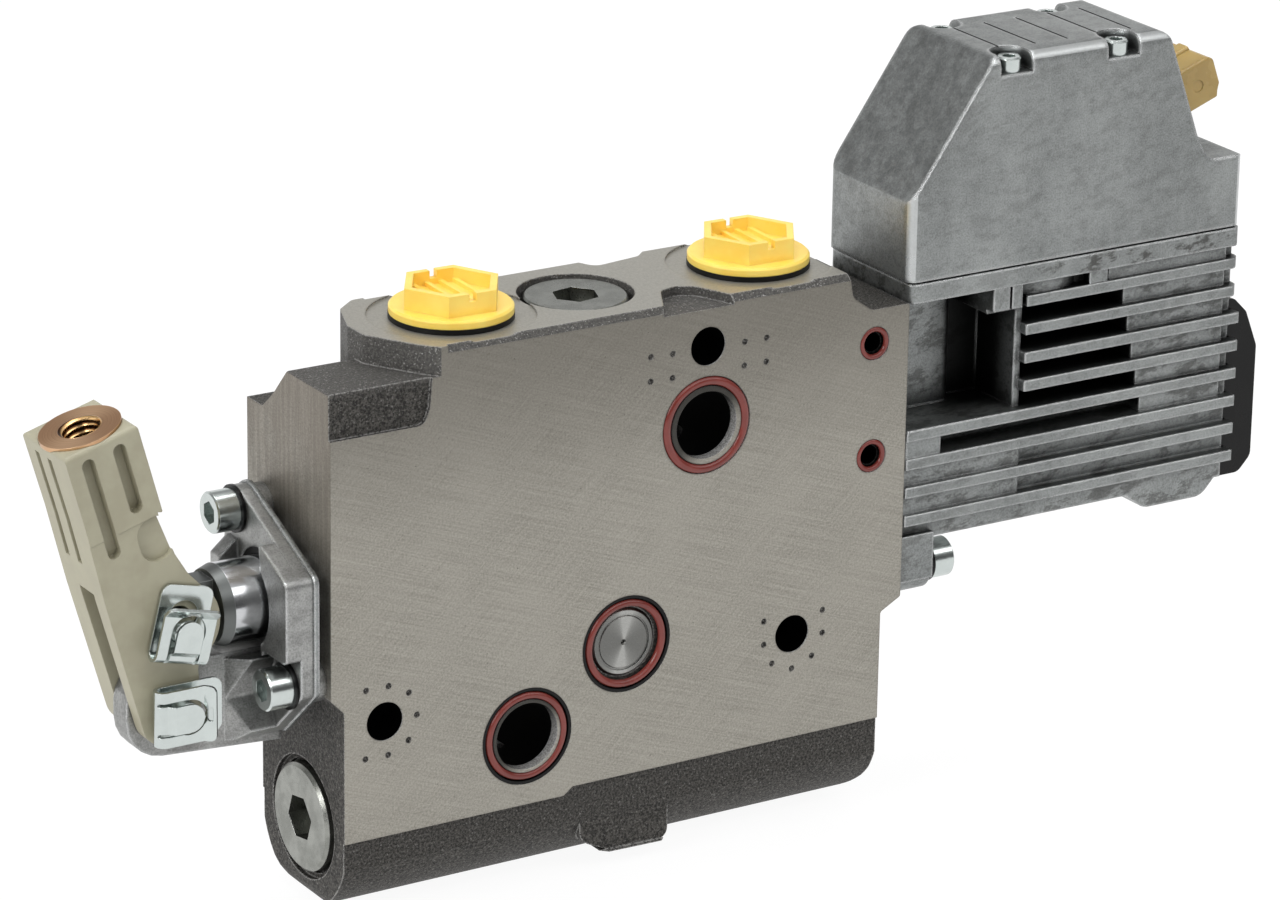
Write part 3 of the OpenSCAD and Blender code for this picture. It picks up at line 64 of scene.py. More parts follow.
# Holes in the sealing faces: centre x and z, radius, radius of the bright lip, and the bright
# depth, past which the bore is painted near-black as shade
RING_LIP = 0.0128
PLUG_X = -0.0212
PLUG_Z = -0.051
HOLES = (
    (0.0, 0.0, 0.0084, RING_LIP, 0.0026),
    (-0.0482, -0.069, 0.0084, RING_LIP, 0.0028),
    (PLUG_X, PLUG_Z, 0.0087, RING_LIP, 0.0040),
    (0.0, 0.0195, 0.0060, 0.0062, 0.0003),
    (0.0255, -0.0575, 0.0060, 0.0062, 0.0003),
    (-0.0864, -0.0575, 0.0060, 0.0062, 0.0003),
    (0.0471, 0.0125, 0.0030, 0.0048, 0.0012),
    (0.047, -0.0159, 0.0030, 0.0048, 0.0012),
)

# Actuator: height of the cover's lower edge, and the middle of the housing's window
COVER_Z = 0.0258
WINDOW_X = 0.074
WINDOW_Z = 0.0045

# Lever: its pivot, its lean at rest, the insert's offset across it and the pitch of the thread
PIVOT_X = -0.1336
PIVOT_Z = -0.049
LEAN = math.radians(16.2)
INSERT_ACROSS = 0.00055
INSERT_Y = 0.02
THREAD_PITCH = 0.0016

# Floor: width, distance under the part and glow
FLOOR_WIDTH = 14
FLOOR_GAP = 0.0002
FLOOR_GLOW = 0.93

# Room light: places and levels from the bottom to the top, behind and in front of the part
BACK_LEVELS = ((0.0, 1.0), (0.36, 1.0), (0.48, 0.5), (0.66, 0.35), (0.86, 0.9))
FRONT_LEVELS = ((0.0, 0.10), (0.26, 0.10), (0.5, 0.3), (0.7, 0.45), (0.9, 0.8))
ROOM_STRENGTH = 0.9
ROOM_TURN = 0.25

# Lamps: name, place, target, size and power in watts
LAMPS = (
    ("left", (-2.0, -0.5, 1.2), (0, 0, 0), (1.1, 1.1), 26),
    ("strip", (0.8, -1.1, 1.2), (0.8, 0, 0), (3.0, 0.6), 14),
    ("top", (0.1, 0.3, 2.0), (0, 0, 0), (1.4, 0.6), 14),
)


def make_camera():
    data = bpy.data.cameras.new("camera")
    data.lens = LENS
    data.sensor_fit = "HORIZONTAL"
    data.sensor_width = SENSOR
    data.clip_start = NEAREST
    data.clip_end = FARTHEST
    camera = bpy.data.objects.new("camera", data)
    rows = [[RIGHT[i], UP[i], -AHEAD[i], EYE[i]] for i in range(3)] + [[0, 0, 0, 1]]
    camera.matrix_world = Matrix(rows)
    bpy.context.collection.objects.link(camera)
    bpy.context.scene.camera = camera


def scaled(color, factor):
    return tuple(factor * value for value in color)


class Maker:
    """One material and short ways to add nodes to it. Values are numbers or sockets."""

    def __init__(self, name):
        self.material = bpy.data.materials.new(name)
        self.material.use_nodes = True
        self.tree = self.material.node_tree
        self.tree.nodes.clear()
        self.bsdf = self.add("ShaderNodeBsdfPrincipled")
        out = self.add("ShaderNodeOutputMaterial")
        self.tree.links.new(self.bsdf.outputs[0], out.inputs["Surface"])
        coord = self.add("ShaderNodeTexCoord")
        self.place = coord.outputs["Object"]
        self.x, self.y, self.z = self.split(self.place)
        self.nx, self.ny, self.nz = self.split(coord.outputs["Normal"])

    def add(self, kind, sockets=None, **settings):
        node = self.tree.nodes.new(kind)
        for key, value in settings.items():
            setattr(node, key, value)
        for key, value in (sockets or {}).items():
            self.put(node.inputs[key], value)
        return node

    def put(self, socket, value):
        """Link the socket or set its value; None leaves it as it is."""
        if isinstance(value, bpy.types.NodeSocket):
            self.tree.links.new(value, socket)
        elif value is not None:
            socket.default_value = value

    def split(self, vector):
        return self.add("ShaderNodeSeparateXYZ", {0: vector}).outputs

    def calc(self, operation, a, b=None, clamp=False):
        node = self.add("ShaderNodeMath", {0: a, 1: b}, operation=operation)
        node.use_clamp = clamp
        return node.outputs[0]

    def plus(self, a, b, clamp=False):
        return self.calc("ADD", a, b, clamp)

    def minus(self, a, b):
        return self.calc("SUBTRACT", a, b)

    def times(self, a, b):
        return self.calc("MULTIPLY", a, b)

    def size(self, value):
        return self.calc("ABSOLUTE", value)

    def power(self, value, exponent):
        return self.calc("POWER", value, exponent)

    def cosine(self, angle, shift):
        return self.calc("COSINE", self.plus(angle, shift))

    def most(self, first, *others):
        top = first
        for value in others:
            top = self.calc("MAXIMUM", top, value)
        return top

    def span(self, value, low, high, to_low=0.0, to_high=1.0):
        """Smooth step between two limits."""
        sockets = {"Value": value, "From Min": low, "From Max": high,
                   "To Min": to_low, "To Max": to_high}
        node = self.add("ShaderNodeMapRange", sockets, interpolation_type="SMOOTHSTEP")
        return node.outputs[0]

    def below(self, value, low, high):
        """1 under the low limit, 0 over the high one."""
        return self.span(value, low, high, 1.0, 0.0)

    def above(self, value, limit, soft):
        """0 under a limit, 1 over it."""
        return self.span(value, limit - soft, limit + soft)

    def between(self, kind, amount, a, b):
        first, second, out = MIX_SOCKETS[kind]
        sockets = {0: amount, first: a, second: b}
        return self.add("ShaderNodeMix", sockets, data_type=kind).outputs[out]

    def paint(self, color):
        return color if isinstance(color, bpy.types.NodeSocket) else (*color, 1)

    def mix(self, amount, a, b):
        return self.between("RGBA", amount, self.paint(a), self.paint(b))

    def blend(self, amount, a, b):
        return self.between("FLOAT", amount, a, b)

    def noise(self, size_mm, detail, rough, place=None):
        sockets = {"Vector": place or self.place, "Scale": 1 / (size_mm * MM),
                   "Detail": detail, "Roughness": rough}
        return self.add("ShaderNodeTexNoise", sockets).outputs["Fac"]

    def turned(self, turn, stretch):
        """Object coordinates, turned and then scaled, for streaks."""
        spin = self.add("ShaderNodeMapping", {"Vector": self.place, "Rotation": turn})
        sockets = {"Vector": spin.outputs[0], "Scale": stretch}
        return self.add("ShaderNodeMapping", sockets).outputs[0]

    def bump(self, height, depth_mm, normal):
        sockets = {"Height": height, "Distance": depth_mm * MM, "Strength": 1.0, "Normal": normal}
        return self.add("ShaderNodeBump", sockets).outputs[0]

    def edge(self, radius, low=0.02, high=0.25):
        """1 on sharp edges, 0 on flat surfaces; also the rounded normal."""
        soft = self.add("ShaderNodeBevel", {"Radius": radius}, samples=4).outputs[0]
        true = self.add("ShaderNodeNewGeometry").outputs["Normal"]
        dot = self.add("ShaderNodeVectorMath", {0: soft, 1: true}, operation="DOT_PRODUCT")
        return self.span(self.minus(1.0, dot.outputs["Value"]), low, high), soft

    def shade(self, reach_mm, low, high):
        """0 in narrow gaps and corners, 1 in the open."""
        sockets = {"Distance": reach_mm * MM}
        node = self.add("ShaderNodeAmbientOcclusion", sockets, samples=6, only_local=True)
        return self.span(node.outputs["AO"], low, high)

    def around(self, a, b, center_a, center_b):
        """Distance and angle about a point in the plane of two coordinates."""
        da = self.minus(a, center_a)
        db = self.minus(b, center_b)
        gap = self.calc("SQRT", self.plus(self.times(da, da), self.times(db, db)))
        return gap, self.calc("ARCTAN2", db, da)

    def finish(self, color, rough, metallic=0.0, normal=None, **more):
        values = {"Base Color": self.paint(color), "Roughness": rough,
                  "Metallic": metallic, "Normal": normal}
        for key, value in {**values, **more}.items():
            self.put(self.bsdf.inputs[key], value)
        return self.material


def machined_faces(m, depth):
    """Masks of both sealing faces, the deck and the two ends."""
    square_y = m.above(m.size(m.ny), FLAT, FLAT_SOFT)
    faces = m.times(square_y, m.below(depth, 0.0001, 0.0004))
    square_z = m.above(m.nz, FLAT, FLAT_SOFT)
    deck = m.times(square_z, m.above(m.z, DECK_Z, 0.0002))
    left = m.above(m.times(m.x, -1.0), -LEFT_END_X, 0.00005)
    right = m.above(m.x, RIGHT_END_X, 0.00005)
    square_x = m.above(m.size(m.nx), FLAT, FLAT_SOFT)
    ends = m.times(square_x, m.plus(left, right, clamp=True))
    return faces, deck, ends


def hole_masks(m, depth):
    """Masks of the bores, painted near-black as shade past their bright depth, their bright lips
    and the shaded side of the ring lands.
    """
    bores = []
    lips = []
    lands = []
    for x, z, radius, lip, bright_depth in HOLES:
        gap, angle = m.around(m.x, m.z, x, z)
        inside = m.below(gap, radius + 0.0001, radius + 0.0003)
        bores.append(m.times(inside, m.above(depth, bright_depth, 0.0002)))
        lips.append(m.below(gap, lip, lip + 0.0001))
        if lip == RING_LIP:
            inner_ring = m.below(gap, 0.0111, 0.0113)
            shaded_side = m.below(m.cosine(angle, 0.85), -0.1, 0.75)
            lands.append(m.times(inner_ring, shaded_side))
    lip = m.times(m.most(*lips), m.below(m.size(m.ny), 0.6, 0.8))
    land = m.times(m.most(*lands), m.span(m.y, 0.018, 0.019, 0.86, 0.0))
    return m.most(*bores), lip, land


def ground_iron(m, faces, deck, ends, lip, land):
    """Colour, tone and pits of the ground faces, with painted shade towards the top of the
    sealing faces and on one side of the ring lands.
    """
    dark = (0.215, 0.203, 0.175)
    light = (0.435, 0.416, 0.368)
    clouded = (0.40, 0.38, 0.335)
    painted_top_shade = (0.12, 0.11, 0.092)
    pitted = (0.06, 0.052, 0.045)
    streaked = (0.055, 0.052, 0.048)
    brown = (0.15, 0.118, 0.088)
    deck_color = (0.45, 0.44, 0.40)
    lip_dark = (0.30, 0.295, 0.285)
    lip_light = (0.62, 0.615, 0.60)
    land_shade_color = (0.02, 0.019, 0.018)

    streaks = m.noise(1.0, 3, 0.6, m.turned((0, 0.75, 0), (0.05, 1, 4.0)))
    crossed = m.noise(1.0, 2, 0.5, m.turned((0, -0.35, 0), (0.04, 1, 3.0)))
    grit = m.noise(0.5, 3, 0.7)
    cloud = m.noise(26, 3, 0.6)
    pits = m.span(m.noise(0.62, 2, 0.6), 0.68, 0.74)
    specks = m.span(m.noise(1.2, 3, 0.7), 0.66, 0.72)
    tone = m.span(m.plus(m.times(streaks, 0.5), m.times(crossed, 0.5)), 0.3, 0.7)
    tone = m.blend(0.55, tone, m.span(grit, 0.3, 0.7))
    color = m.mix(tone, dark, light)
    color = m.mix(m.times(m.span(cloud, 0.35, 0.7), 0.3), color, clouded)
    # Painted shade: the sealing faces grow darker towards the top.
    high = m.times(faces, m.span(m.z, -0.022, 0.032))
    color = m.mix(m.times(high, 0.6), color, painted_top_shade)
    color = m.mix(m.times(m.most(pits, m.times(specks, 0.6)), 0.7), color, pitted)
    upright_noise = m.noise(1.0, 4, 0.65, m.turned((0, 0, 0), (1, 0.9, 0.045)))
    upright = m.span(upright_noise, 0.35, 0.62)
    color = m.mix(m.times(m.times(ends, upright), 0.32), color, streaked)
    upper_ends = m.times(ends, m.span(m.z, -0.034, 0.006))
    rust = m.times(upper_ends, m.span(cloud, 0.3, 0.6, 0.2, 0.5))
    color = m.mix(rust, color, brown)
    color = m.mix(m.times(deck, 0.5), color, deck_color)
    lip_tone = m.span(m.noise(0.4, 2, 0.5), 0.35, 0.65)
    color = m.mix(lip, color, m.mix(lip_tone, lip_dark, lip_light))
    # Painted shade on one side of each ring land round the big holes.
    return m.mix(land, color, land_shade_color), tone, pits


def raw_iron(m, edge, grain):
    """Colour of the raw casting, with a painted highlight on the band under the deck, and the
    mask of its bright spots, which are partly wear and partly painted glints.
    """
    dark = (0.015, 0.014, 0.013)
    light = (0.118, 0.111, 0.10)
    rim_highlight_color = (0.22, 0.215, 0.205)
    bare_metal_and_glint = (0.60, 0.59, 0.57)

    color = m.mix(m.span(grain, 0.38, 0.66), dark, light)
    # Painted highlight: the raw band just under the deck is lighter.
    lit_rim = m.above(m.z, 0.0235, 0.002)
    color = m.mix(m.times(lit_rim, 0.3), color, rim_highlight_color)
    # Bright spots: the flecks are painted glints, and the edges are partly wear and partly
    # painted highlight.
    glint_flecks = m.span(m.noise(0.45, 2, 0.5), 0.61, 0.69)
    glint_flecks = m.times(glint_flecks, m.blend(lit_rim, 0.45, 1.2))
    worn = m.plus(edge, m.times(glint_flecks, 0.5), clamp=True)
    bright = m.times(worn, m.span(grain, 0.36, 0.54))
    return m.mix(bright, color, bare_metal_and_glint), bright


def iron():
    """Cast iron: ground on the machined faces, dark and grainy where it is raw."""
    bore_shade_color = (0.0012, 0.0012, 0.0012)

    m = Maker("iron_body")
    depth = m.minus(BODY_MID_Y, m.size(m.minus(m.y, BODY_MID_Y)))
    faces, deck, ends = machined_faces(m, depth)
    bores, lip, land = hole_masks(m, depth)
    ground = m.plus(m.plus(faces, deck), ends, clamp=True)
    ground = m.most(ground, lip)
    edge, soft = m.edge(0.7 * MM)
    grain = m.noise(0.6, 4, 0.75)
    lumps = m.noise(2.2, 3, 0.6)
    raw_color, bright = raw_iron(m, edge, grain)
    color, tone, pits = ground_iron(m, faces, deck, ends, lip, land)
    color = m.mix(ground, raw_color, color)
    # Painted shade: the bores are near-black past their bright depth.
    color = m.mix(bores, color, bore_shade_color)

    rough = m.blend(ground, m.blend(bright, 0.62, 0.32), m.blend(tone, 0.5, 0.38))
    rough = m.blend(lip, rough, 0.24)
    rough = m.blend(bores, rough, 0.9)
    metallic = m.blend(lip, m.blend(ground, 0.5, 0.8), 0.45)
    metallic = m.blend(bores, metallic, 1.0)
    raw_normal = m.bump(m.plus(m.times(lumps, 1.2), grain), 0.42, soft)
    ground_normal = m.bump(m.minus(m.times(tone, 0.2), pits), 0.02, soft)
    normal = m.between("VECTOR", ground, raw_normal, ground_normal)
    return m.finish(color, rough, metallic, normal)


def casting_skin(m, dark, light, small, fine):
    """Mottled colour of a casting and its tone, with painted shade in patches on the slopes that
    face up and to the left.
    """
    cloud = m.noise(24, 4, 0.62, m.turned((0, 0, 0), (1, 1, 0.55)))
    tone = m.span(m.plus(m.times(cloud, 0.6), m.times(small, 0.4)), 0.36, 0.64)
    color = m.mix(tone, dark, light)
    color = m.mix(m.times(m.span(fine, 0.42, 0.62), 0.32), color, scaled(light, 1.5))
    color = m.mix(m.times(m.span(fine, 0.5, 0.36), 0.30), color, scaled(dark, 0.4))
    # Painted shade on the slopes that face up and to the left, broken into patches.
    left_slope_shade = m.times(m.span(m.times(m.nx, -1.0), 0.3, 0.6), m.span(m.nz, 0.2, 0.4))
    patch = m.span(m.noise(3.8, 5, 0.7), 0.34, 0.66, 0.2, 0.64)
    return m.mix(m.times(left_slope_shade, patch), color, scaled(dark, 0.4)), tone


def casting_dirt(m, color, cover, dirt_and_shadow):
    """Dirt in scuffs, mostly behind the outer faces and along the upper rail."""
    dirt = (0.045, 0.042, 0.038)
    scuff_noise = m.noise(5, 6, 0.78, m.turned((0, 0.2, 0), (0.5, 1, 1.2)))
    scuff = m.span(scuff_noise, 0.49, 0.58)
    sunk = m.times(m.span(m.y, 0.0008, 0.0013), m.below(m.y, 0.034, 0.0345))
    rail_height = m.above(m.z, 0.0203, 0.0005)
    rail = m.times(rail_height, m.span(m.x, 0.075, 0.115, 0.15, 0.75 * dirt_and_shadow))
    much = m.blend(cover, m.most(m.blend(sunk, 0.2, 0.55 * dirt_and_shadow), rail), 0.17)
    return m.mix(m.times(scuff, much), color, dirt)


def painted_window_shadow(m, color, cover, dirt_and_shadow):
    """Painted shadow inside the housing's window, darkest at its far right."""
    shadow = (0.004, 0.004, 0.004)
    window = m.times(m.above(m.y, 0.0042, 0.001), m.minus(1.0, cover))
    window = m.times(window, m.below(m.size(m.minus(m.x, WINDOW_X)), 0.0172, 0.018))
    window = m.times(window, m.below(m.size(m.minus(m.z, WINDOW_Z)), 0.0165, 0.0172))
    to_right = m.span(m.x, 0.070, 0.083, 0.12, 1.0)
    to_back = m.span(m.y, 0.004, 0.013, 0.1, 0.95)
    corner = m.times(to_right, to_back)
    return m.mix(m.times(window, m.times(corner, dirt_and_shadow)), color, shadow)


def diecast(name, dark, light, reach_mm=9, dirt_and_shadow=1.0):
    """Die-cast aluminium: mottled skin, dirt in scuffs, painted shade in the hollows and inside
    the window, and bright edges that are partly wear and partly painted highlight.
    """
    wear_and_highlight_color = (0.74, 0.75, 0.75)
    fillet_highlight_color = (0.68, 0.70, 0.70)
    hollow_shade_color = (0.006, 0.006, 0.006)

    m = Maker(name)
    cover = m.above(m.z, COVER_Z, 0.0002)
    edge, soft = m.edge(m.blend(cover, 1.1 * MM, 1.7 * MM), 0.03, 0.28)
    small = m.noise(2.6, 5, 0.8)
    fine = m.noise(0.45, 4, 0.8)
    open_air = m.shade(reach_mm, 0.3, 0.92)
    color, tone = casting_skin(m, dark, light, small, fine)
    # Scuffed dirt, then a painted shadow inside the housing's window.
    color = casting_dirt(m, color, cover, dirt_and_shadow)
    color = painted_window_shadow(m, color, cover, dirt_and_shadow)

    # Bright edges: on the housing both wear and painted highlight, on the cover a painted
    # highlight.
    worn = m.times(edge, m.blend(cover, m.span(m.noise(1.1, 3, 0.7), 0.30, 0.5), 0.9))
    color = m.mix(m.times(worn, open_air), color, wear_and_highlight_color)
    # Painted highlight on the cover's rounded corners and front edges.
    fillet_highlight = m.most(m.size(m.times(m.nx, m.ny)), m.size(m.times(m.ny, m.nz)))
    fillet_highlight = m.times(m.times(cover, m.span(fillet_highlight, 0.12, 0.45)), 0.62)
    color = m.mix(fillet_highlight, color, fillet_highlight_color)
    # Painted shade: near-black in the hollows, held lighter low on the housing.
    underside = m.span(m.z, -0.018, -0.0165, 0.55, 0.0)
    color = m.mix(m.most(open_air, underside), hollow_shade_color, color)
    rough = m.blend(m.most(worn, fillet_highlight), m.blend(tone, 0.44, 0.34), 0.22)
    height = m.plus(m.times(fine, 0.5), m.times(small, 0.8))
    return m.finish(color, rough, 0.85, m.bump(height, 0.07, soft))


def plastic(name, dark, light, rough=0.45, grain_mm=0.5, depth_mm=0.02, **more):
    """Moulded plastic or rubber with faint clouds, a fine grain and paler edges."""
    paler = tuple(min(1, 1.25 * value + 0.03) for value in light)
    m = Maker(name)
    edge, soft = m.edge(0.35 * MM, 0.02, 0.3)
    tone = m.span(m.noise(9, 3, 0.6), 0.35, 0.65)
    color = m.mix(tone, dark, light)
    color = m.mix(m.times(edge, 0.25), color, paler)
    normal = m.bump(m.noise(grain_mm, 3, 0.6), depth_mm, soft)
    return m.finish(color, m.blend(tone, rough, rough + 0.08), 0.0, normal, **more)


def metal(name, color, rough=0.25, grain_mm=0.6, depth_mm=0.01, stain=0.3):
    """Bright plated metal with faint clouds, scratches and worn edges."""
    edge_color = (0.85, 0.87, 0.86)
    m = Maker(name)
    edge, soft = m.edge(0.2 * MM, 0.02, 0.3)
    fine = m.noise(grain_mm, 3, 0.6)
    cloud = m.span(m.noise(4, 3, 0.65), 0.35, 0.68)
    tinted = m.mix(m.times(cloud, stain), color, scaled(color, 0.55))
    tinted = m.mix(m.times(edge, 0.4), tinted, edge_color)
    gloss = m.blend(m.span(fine, 0.3, 0.7), rough, rough + 0.05)
    return m.finish(tinted, gloss, 1.0, m.bump(fine, depth_mm, soft))


def turned_steel():
    """Turned faces: painted radial sheen and fine rings on the flat gallery plug, and painted
    shade in the hollows.
    """
    disc_dark = (0.16, 0.16, 0.152)
    disc_light = (0.38, 0.38, 0.364)
    plain_dark = (0.23, 0.235, 0.215)
    plain_light = (0.33, 0.335, 0.31)
    deck_color = (0.07, 0.075, 0.062)
    edge_color = (0.75, 0.76, 0.74)
    hollow_shade_color = (0.015, 0.015, 0.014)
    rings_per_metre = 26000.0

    m = Maker("steel_turned")
    edge, soft = m.edge(0.2 * MM, 0.02, 0.3)
    gap, angle = m.around(m.x, m.z, PLUG_X, PLUG_Z)
    flat = m.times(m.below(gap, 0.0088, 0.009), m.below(m.y, 0.006, 0.007))
    # Painted sheen: bright wedges across the disc, set by angle round its centre.
    sheen = m.size(m.cosine(angle, -1.45))
    sheen = m.plus(m.power(sheen, 26.0), m.times(m.power(sheen, 4.0), 0.45))
    disc = m.mix(sheen, disc_dark, disc_light)
    cloud = m.span(m.noise(5, 3, 0.65), 0.35, 0.68)
    plain = m.mix(cloud, plain_dark, plain_light)
    on_deck = m.above(m.z, 0.02, 0.002)
    plain = m.mix(m.times(on_deck, 0.3), plain, deck_color)
    color = m.mix(flat, plain, disc)
    color = m.mix(m.times(edge, 0.5), color, edge_color)
    # Painted shade: near-black in the hollows.
    color = m.mix(m.shade(4, 0.15, 0.7), hollow_shade_color, color)
    fine = m.span(m.noise(0.35, 3, 0.6), 0.3, 0.7)
    rings = m.calc("SINE", m.times(gap, rings_per_metre))
    height = m.plus(fine, m.times(m.times(rings, flat), 0.5))
    return m.finish(color, m.blend(fine, 0.26, 0.38), 1.0, m.bump(height, 0.008, soft))


def hard_chrome():
    """Polished plunger and spool, with a dull band at the lever end and a painted dark reflection
    on the underside.
    """
    dark = (0.56, 0.57, 0.585)
    light = (0.62, 0.63, 0.645)
    underside_reflection_color = (0.03, 0.03, 0.031)
    band_color = (0.15, 0.158, 0.155)
    edge_color = (0.7, 0.71, 0.72)

    m = Maker("hard_steel")
    edge, soft = m.edge(0.2 * MM, 0.02, 0.3)
    fine = m.noise(1.0, 3, 0.6, m.turned((0, 0, 0), (0.1, 1, 1)))
    cloud = m.span(m.noise(7, 3, 0.6), 0.35, 0.68)
    color = m.mix(cloud, dark, light)
    # Painted dark reflection: darker where the surface faces down.
    under = m.span(m.times(m.nz, -1.0), 0.0, 0.7)
    color = m.mix(m.times(under, 0.8), color, underside_reflection_color)
    band = m.below(m.x, -0.11925, -0.11915)
    color = m.mix(band, color, band_color)
    color = m.mix(m.times(edge, 0.4), color, edge_color)
    polish = m.blend(m.span(fine, 0.3, 0.7), 0.13, 0.2)
    return m.finish(color, m.blend(band, polish, 0.42), 1.0, m.bump(fine, 0.003, soft))


def copper():
    """Insert with its thread, which winds round the axis of the leaning lever; a painted sheen on
    its face, and the thread painted with shaded roots and highlit crests.
    """
    face_dark = (0.40, 0.215, 0.105)
    face_light = (0.80, 0.52, 0.31)
    edge_color = (0.85, 0.62, 0.45)
    root_shade_color = (0.07, 0.028, 0.010)
    crest_highlight_color = (0.90, 0.58, 0.27)

    m = Maker("copper_insert")
    dx = m.minus(m.x, PIVOT_X)
    dz = m.minus(m.z, PIVOT_Z)
    across = m.plus(m.times(dx, math.cos(LEAN)), m.times(dz, math.sin(LEAN)))
    along = m.minus(m.times(dz, math.cos(LEAN)), m.times(dx, math.sin(LEAN)))
    gap, angle = m.around(across, m.y, INSERT_ACROSS, INSERT_Y)
    turns = m.plus(m.calc("DIVIDE", along, THREAD_PITCH), m.calc("DIVIDE", angle, 2 * math.pi))
    tooth = m.calc("PINGPONG", turns, 0.5)
    bore = m.below(gap, 0.0050, 0.0052)
    edge, soft = m.edge(0.2 * MM, 0.02, 0.3)
    fine = m.noise(0.5, 3, 0.7)
    lathe = m.noise(0.22, 2, 0.6, m.add("ShaderNodeCombineXYZ", {0: gap}).outputs[0])
    # Painted sheen: the face is lighter towards one side.
    sheen = m.power(m.size(m.cosine(angle, -0.75)), 3.0)
    lathe_tone = m.span(lathe, 0.35, 0.65, -0.15, 0.25)
    tone = m.plus(m.times(sheen, 0.6), lathe_tone, clamp=True)
    face = m.mix(tone, face_dark, face_light)
    face = m.mix(m.times(edge, 0.5), face, edge_color)
    # The thread is painted: dark roots as shade, bright crests as highlight.
    thread = m.mix(m.span(tooth, 0.12, 0.42), root_shade_color, crest_highlight_color)
    color = m.mix(bore, face, thread)
    height = m.plus(m.times(m.times(tooth, bore), 8.0), m.times(fine, 0.12))
    return m.finish(color, m.blend(bore, 0.32, 0.22), 1.0, m.bump(height, 0.12, soft))


def make_materials():
    """One material for each material slot of the record."""
    dull = {"Specular IOR Level": 0.2}
    shiny = {"Specular IOR Level": 0.22}
    yellow_glow = {"Subsurface Weight": 0.2, "Subsurface Radius": (0.002, 0.0014, 0.0005)}
    tan_glow = {"Subsurface Weight": 0.3, "Subsurface Radius": (0.003, 0.002, 0.001)}
    return {
        "iron_body": iron(),
        "steel_turned": turned_steel(),
        "hard_steel": hard_chrome(),
        "copper_insert": copper(),
        "diecast": diecast("diecast", (0.203, 0.213, 0.211), (0.298, 0.311, 0.307)),
        "base_diecast": diecast(
            "base_diecast", (0.21, 0.212, 0.207), (0.36, 0.362, 0.353), 2.5, 0.35),
        "zinc_steel": metal("zinc_steel", (0.58, 0.625, 0.61), 0.18, 1.2, 0.002, 0.10),
        "spring_steel": metal("spring_steel", (0.4, 0.4, 0.41), 0.3),
        "gold_pins": metal("gold_pins", (0.78, 0.56, 0.24), 0.2),
        "red_seal": plastic(
            "red_seal", (0.155, 0.026, 0.020), (0.20, 0.036, 0.028), 0.17, 0.6, 0.01),
        "black_seal": plastic(
            "black_seal", (0.004, 0.004, 0.004), (0.006, 0.006, 0.006), 0.4, **dull),
        "black_plastic": plastic(
            "black_plastic", (0.003, 0.003, 0.003), (0.005, 0.005, 0.005), 0.22, **shiny),
        "yellow_plastic": plastic(
            "yellow_plastic", (0.965, 0.655, 0.105), (0.975, 0.72, 0.15), 0.3, 0.8, 0.01,
            **yellow_glow),
        "tan_plastic": plastic(
            "tan_plastic", (0.40, 0.272, 0.086), (0.47, 0.33, 0.112), 0.26, 1.0, 0.01,
            **tan_glow),
        "lever_plastic": plastic(
            "lever_plastic", (0.345, 0.322, 0.230), (0.385, 0.365, 0.265), 0.4, 0.7, 0.012),
        "coil_wrap": plastic("coil_wrap", (0.18, 0.05, 0.02), (0.28, 0.09, 0.03)),
        "board": plastic("board", (0.01, 0.08, 0.03), (0.02, 0.13, 0.05)),
    }


def dress_nodes(slots):
    for row in frame["record"]["subparts"]:
        node = frame["nodes"][row["node"]]
        node.data.materials.clear()
        node.data.materials.append(slots[row["material_slot"]])


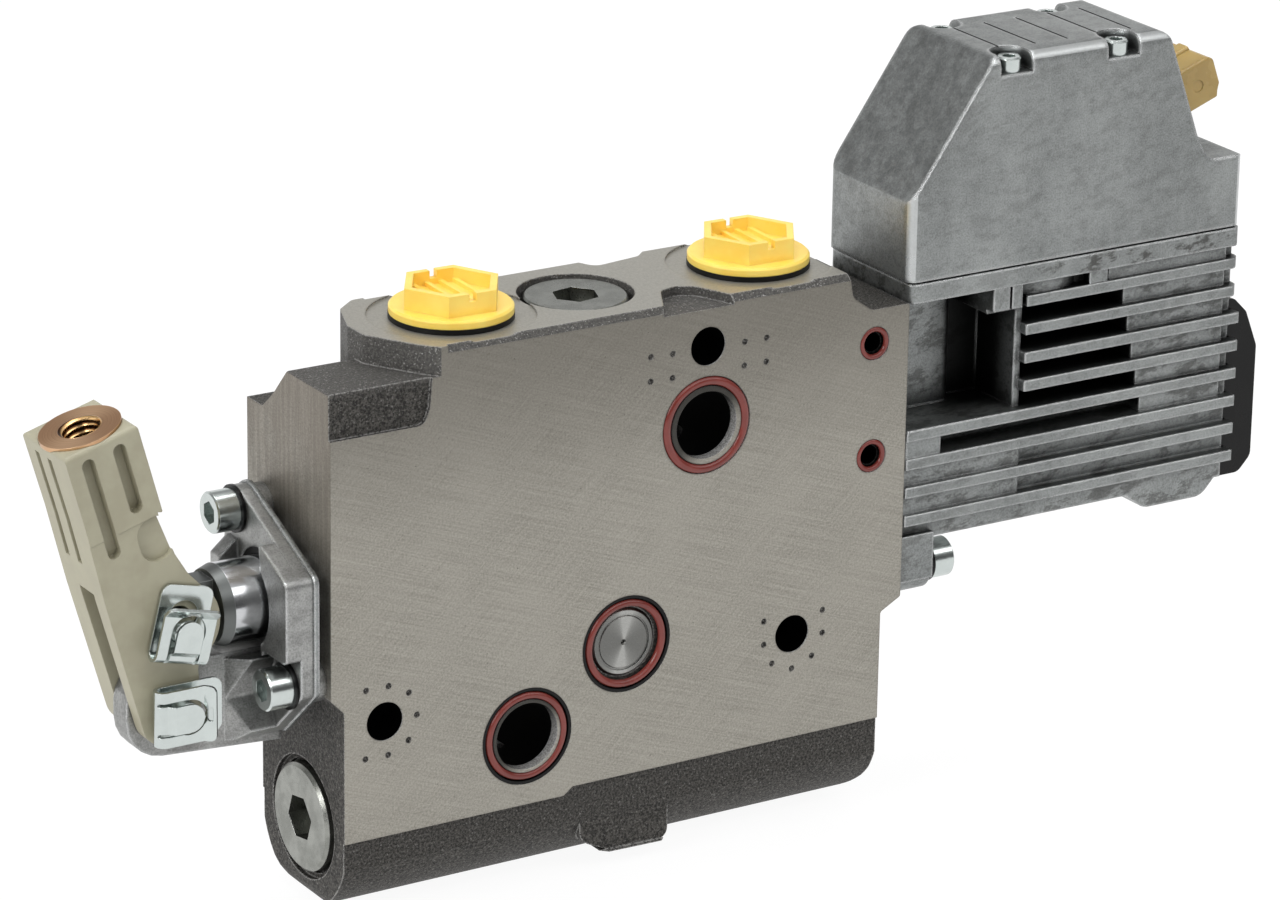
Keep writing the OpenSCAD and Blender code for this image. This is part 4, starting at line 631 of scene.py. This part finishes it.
def make_floor():
    """White table that glows, so that it stays white, with a faint shadow."""
    dark = (0.06, 0.06, 0.06)
    light = (0.07, 0.07, 0.07)
    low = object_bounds()[0].z
    bpy.ops.mesh.primitive_plane_add(size=FLOOR_WIDTH, location=(0, 0, low - FLOOR_GAP))
    floor = bpy.context.object
    floor.name = "floor"
    m = Maker("floor")
    m.put(m.bsdf.inputs["Emission Color"], (1, 1, 1, 1))
    m.put(m.bsdf.inputs["Emission Strength"], FLOOR_GLOW)
    m.finish(m.mix(m.noise(400, 2, 0.5), dark, light), 0.8)
    floor.data.materials.append(m.material)


def make_lamp(name, place, target, size, power):
    data = bpy.data.lights.new(name, "AREA")
    data.shape = "RECTANGLE"
    data.size, data.size_y = size
    data.energy = power
    lamp = bpy.data.objects.new(name, data)
    lamp.location = place
    aim = Vector(target) - Vector(place)
    lamp.rotation_euler = aim.to_track_quat("-Z", "Y").to_euler()
    bpy.context.collection.objects.link(lamp)


def add_ramp(tree, value, levels):
    """Grey levels along a value."""
    node = tree.nodes.new("ShaderNodeValToRGB")
    tree.links.new(value, node.inputs[0])
    stops = node.color_ramp.elements
    while len(stops) < len(levels):
        stops.new(0.5)
    for stop, (place, level) in zip(stops, levels):
        stop.position = place
        stop.color = (level, level, level, 1)
    return node.outputs[0]


def make_room():
    """Dark room in front, white paper behind, bright above."""
    world = bpy.data.worlds.new("studio")
    world.use_nodes = True
    tree = world.node_tree
    ahead = tree.nodes.new("ShaderNodeTexCoord").outputs["Generated"]
    split = tree.nodes.new("ShaderNodeSeparateXYZ")
    tree.links.new(ahead, split.inputs[0])
    back = add_ramp(tree, split.outputs[2], BACK_LEVELS)
    front = add_ramp(tree, split.outputs[2], FRONT_LEVELS)
    side = tree.nodes.new("ShaderNodeMapRange")
    side.inputs["From Min"].default_value = -ROOM_TURN
    side.inputs["From Max"].default_value = ROOM_TURN
    tree.links.new(split.outputs[1], side.inputs["Value"])
    mix = tree.nodes.new("ShaderNodeMix")
    mix.data_type = "RGBA"
    tree.links.new(side.outputs[0], mix.inputs[0])
    tree.links.new(front, mix.inputs[6])
    tree.links.new(back, mix.inputs[7])
    background = tree.nodes["Background"]
    tree.links.new(mix.outputs[2], background.inputs[0])
    background.inputs[1].default_value = ROOM_STRENGTH
    bpy.context.scene.world = world


make_camera()
make_floor()
make_room()
for lamp_row in LAMPS:
    make_lamp(*lamp_row)
bpy.context.scene.view_settings.view_transform = "Standard"
dress_nodes(make_materials())
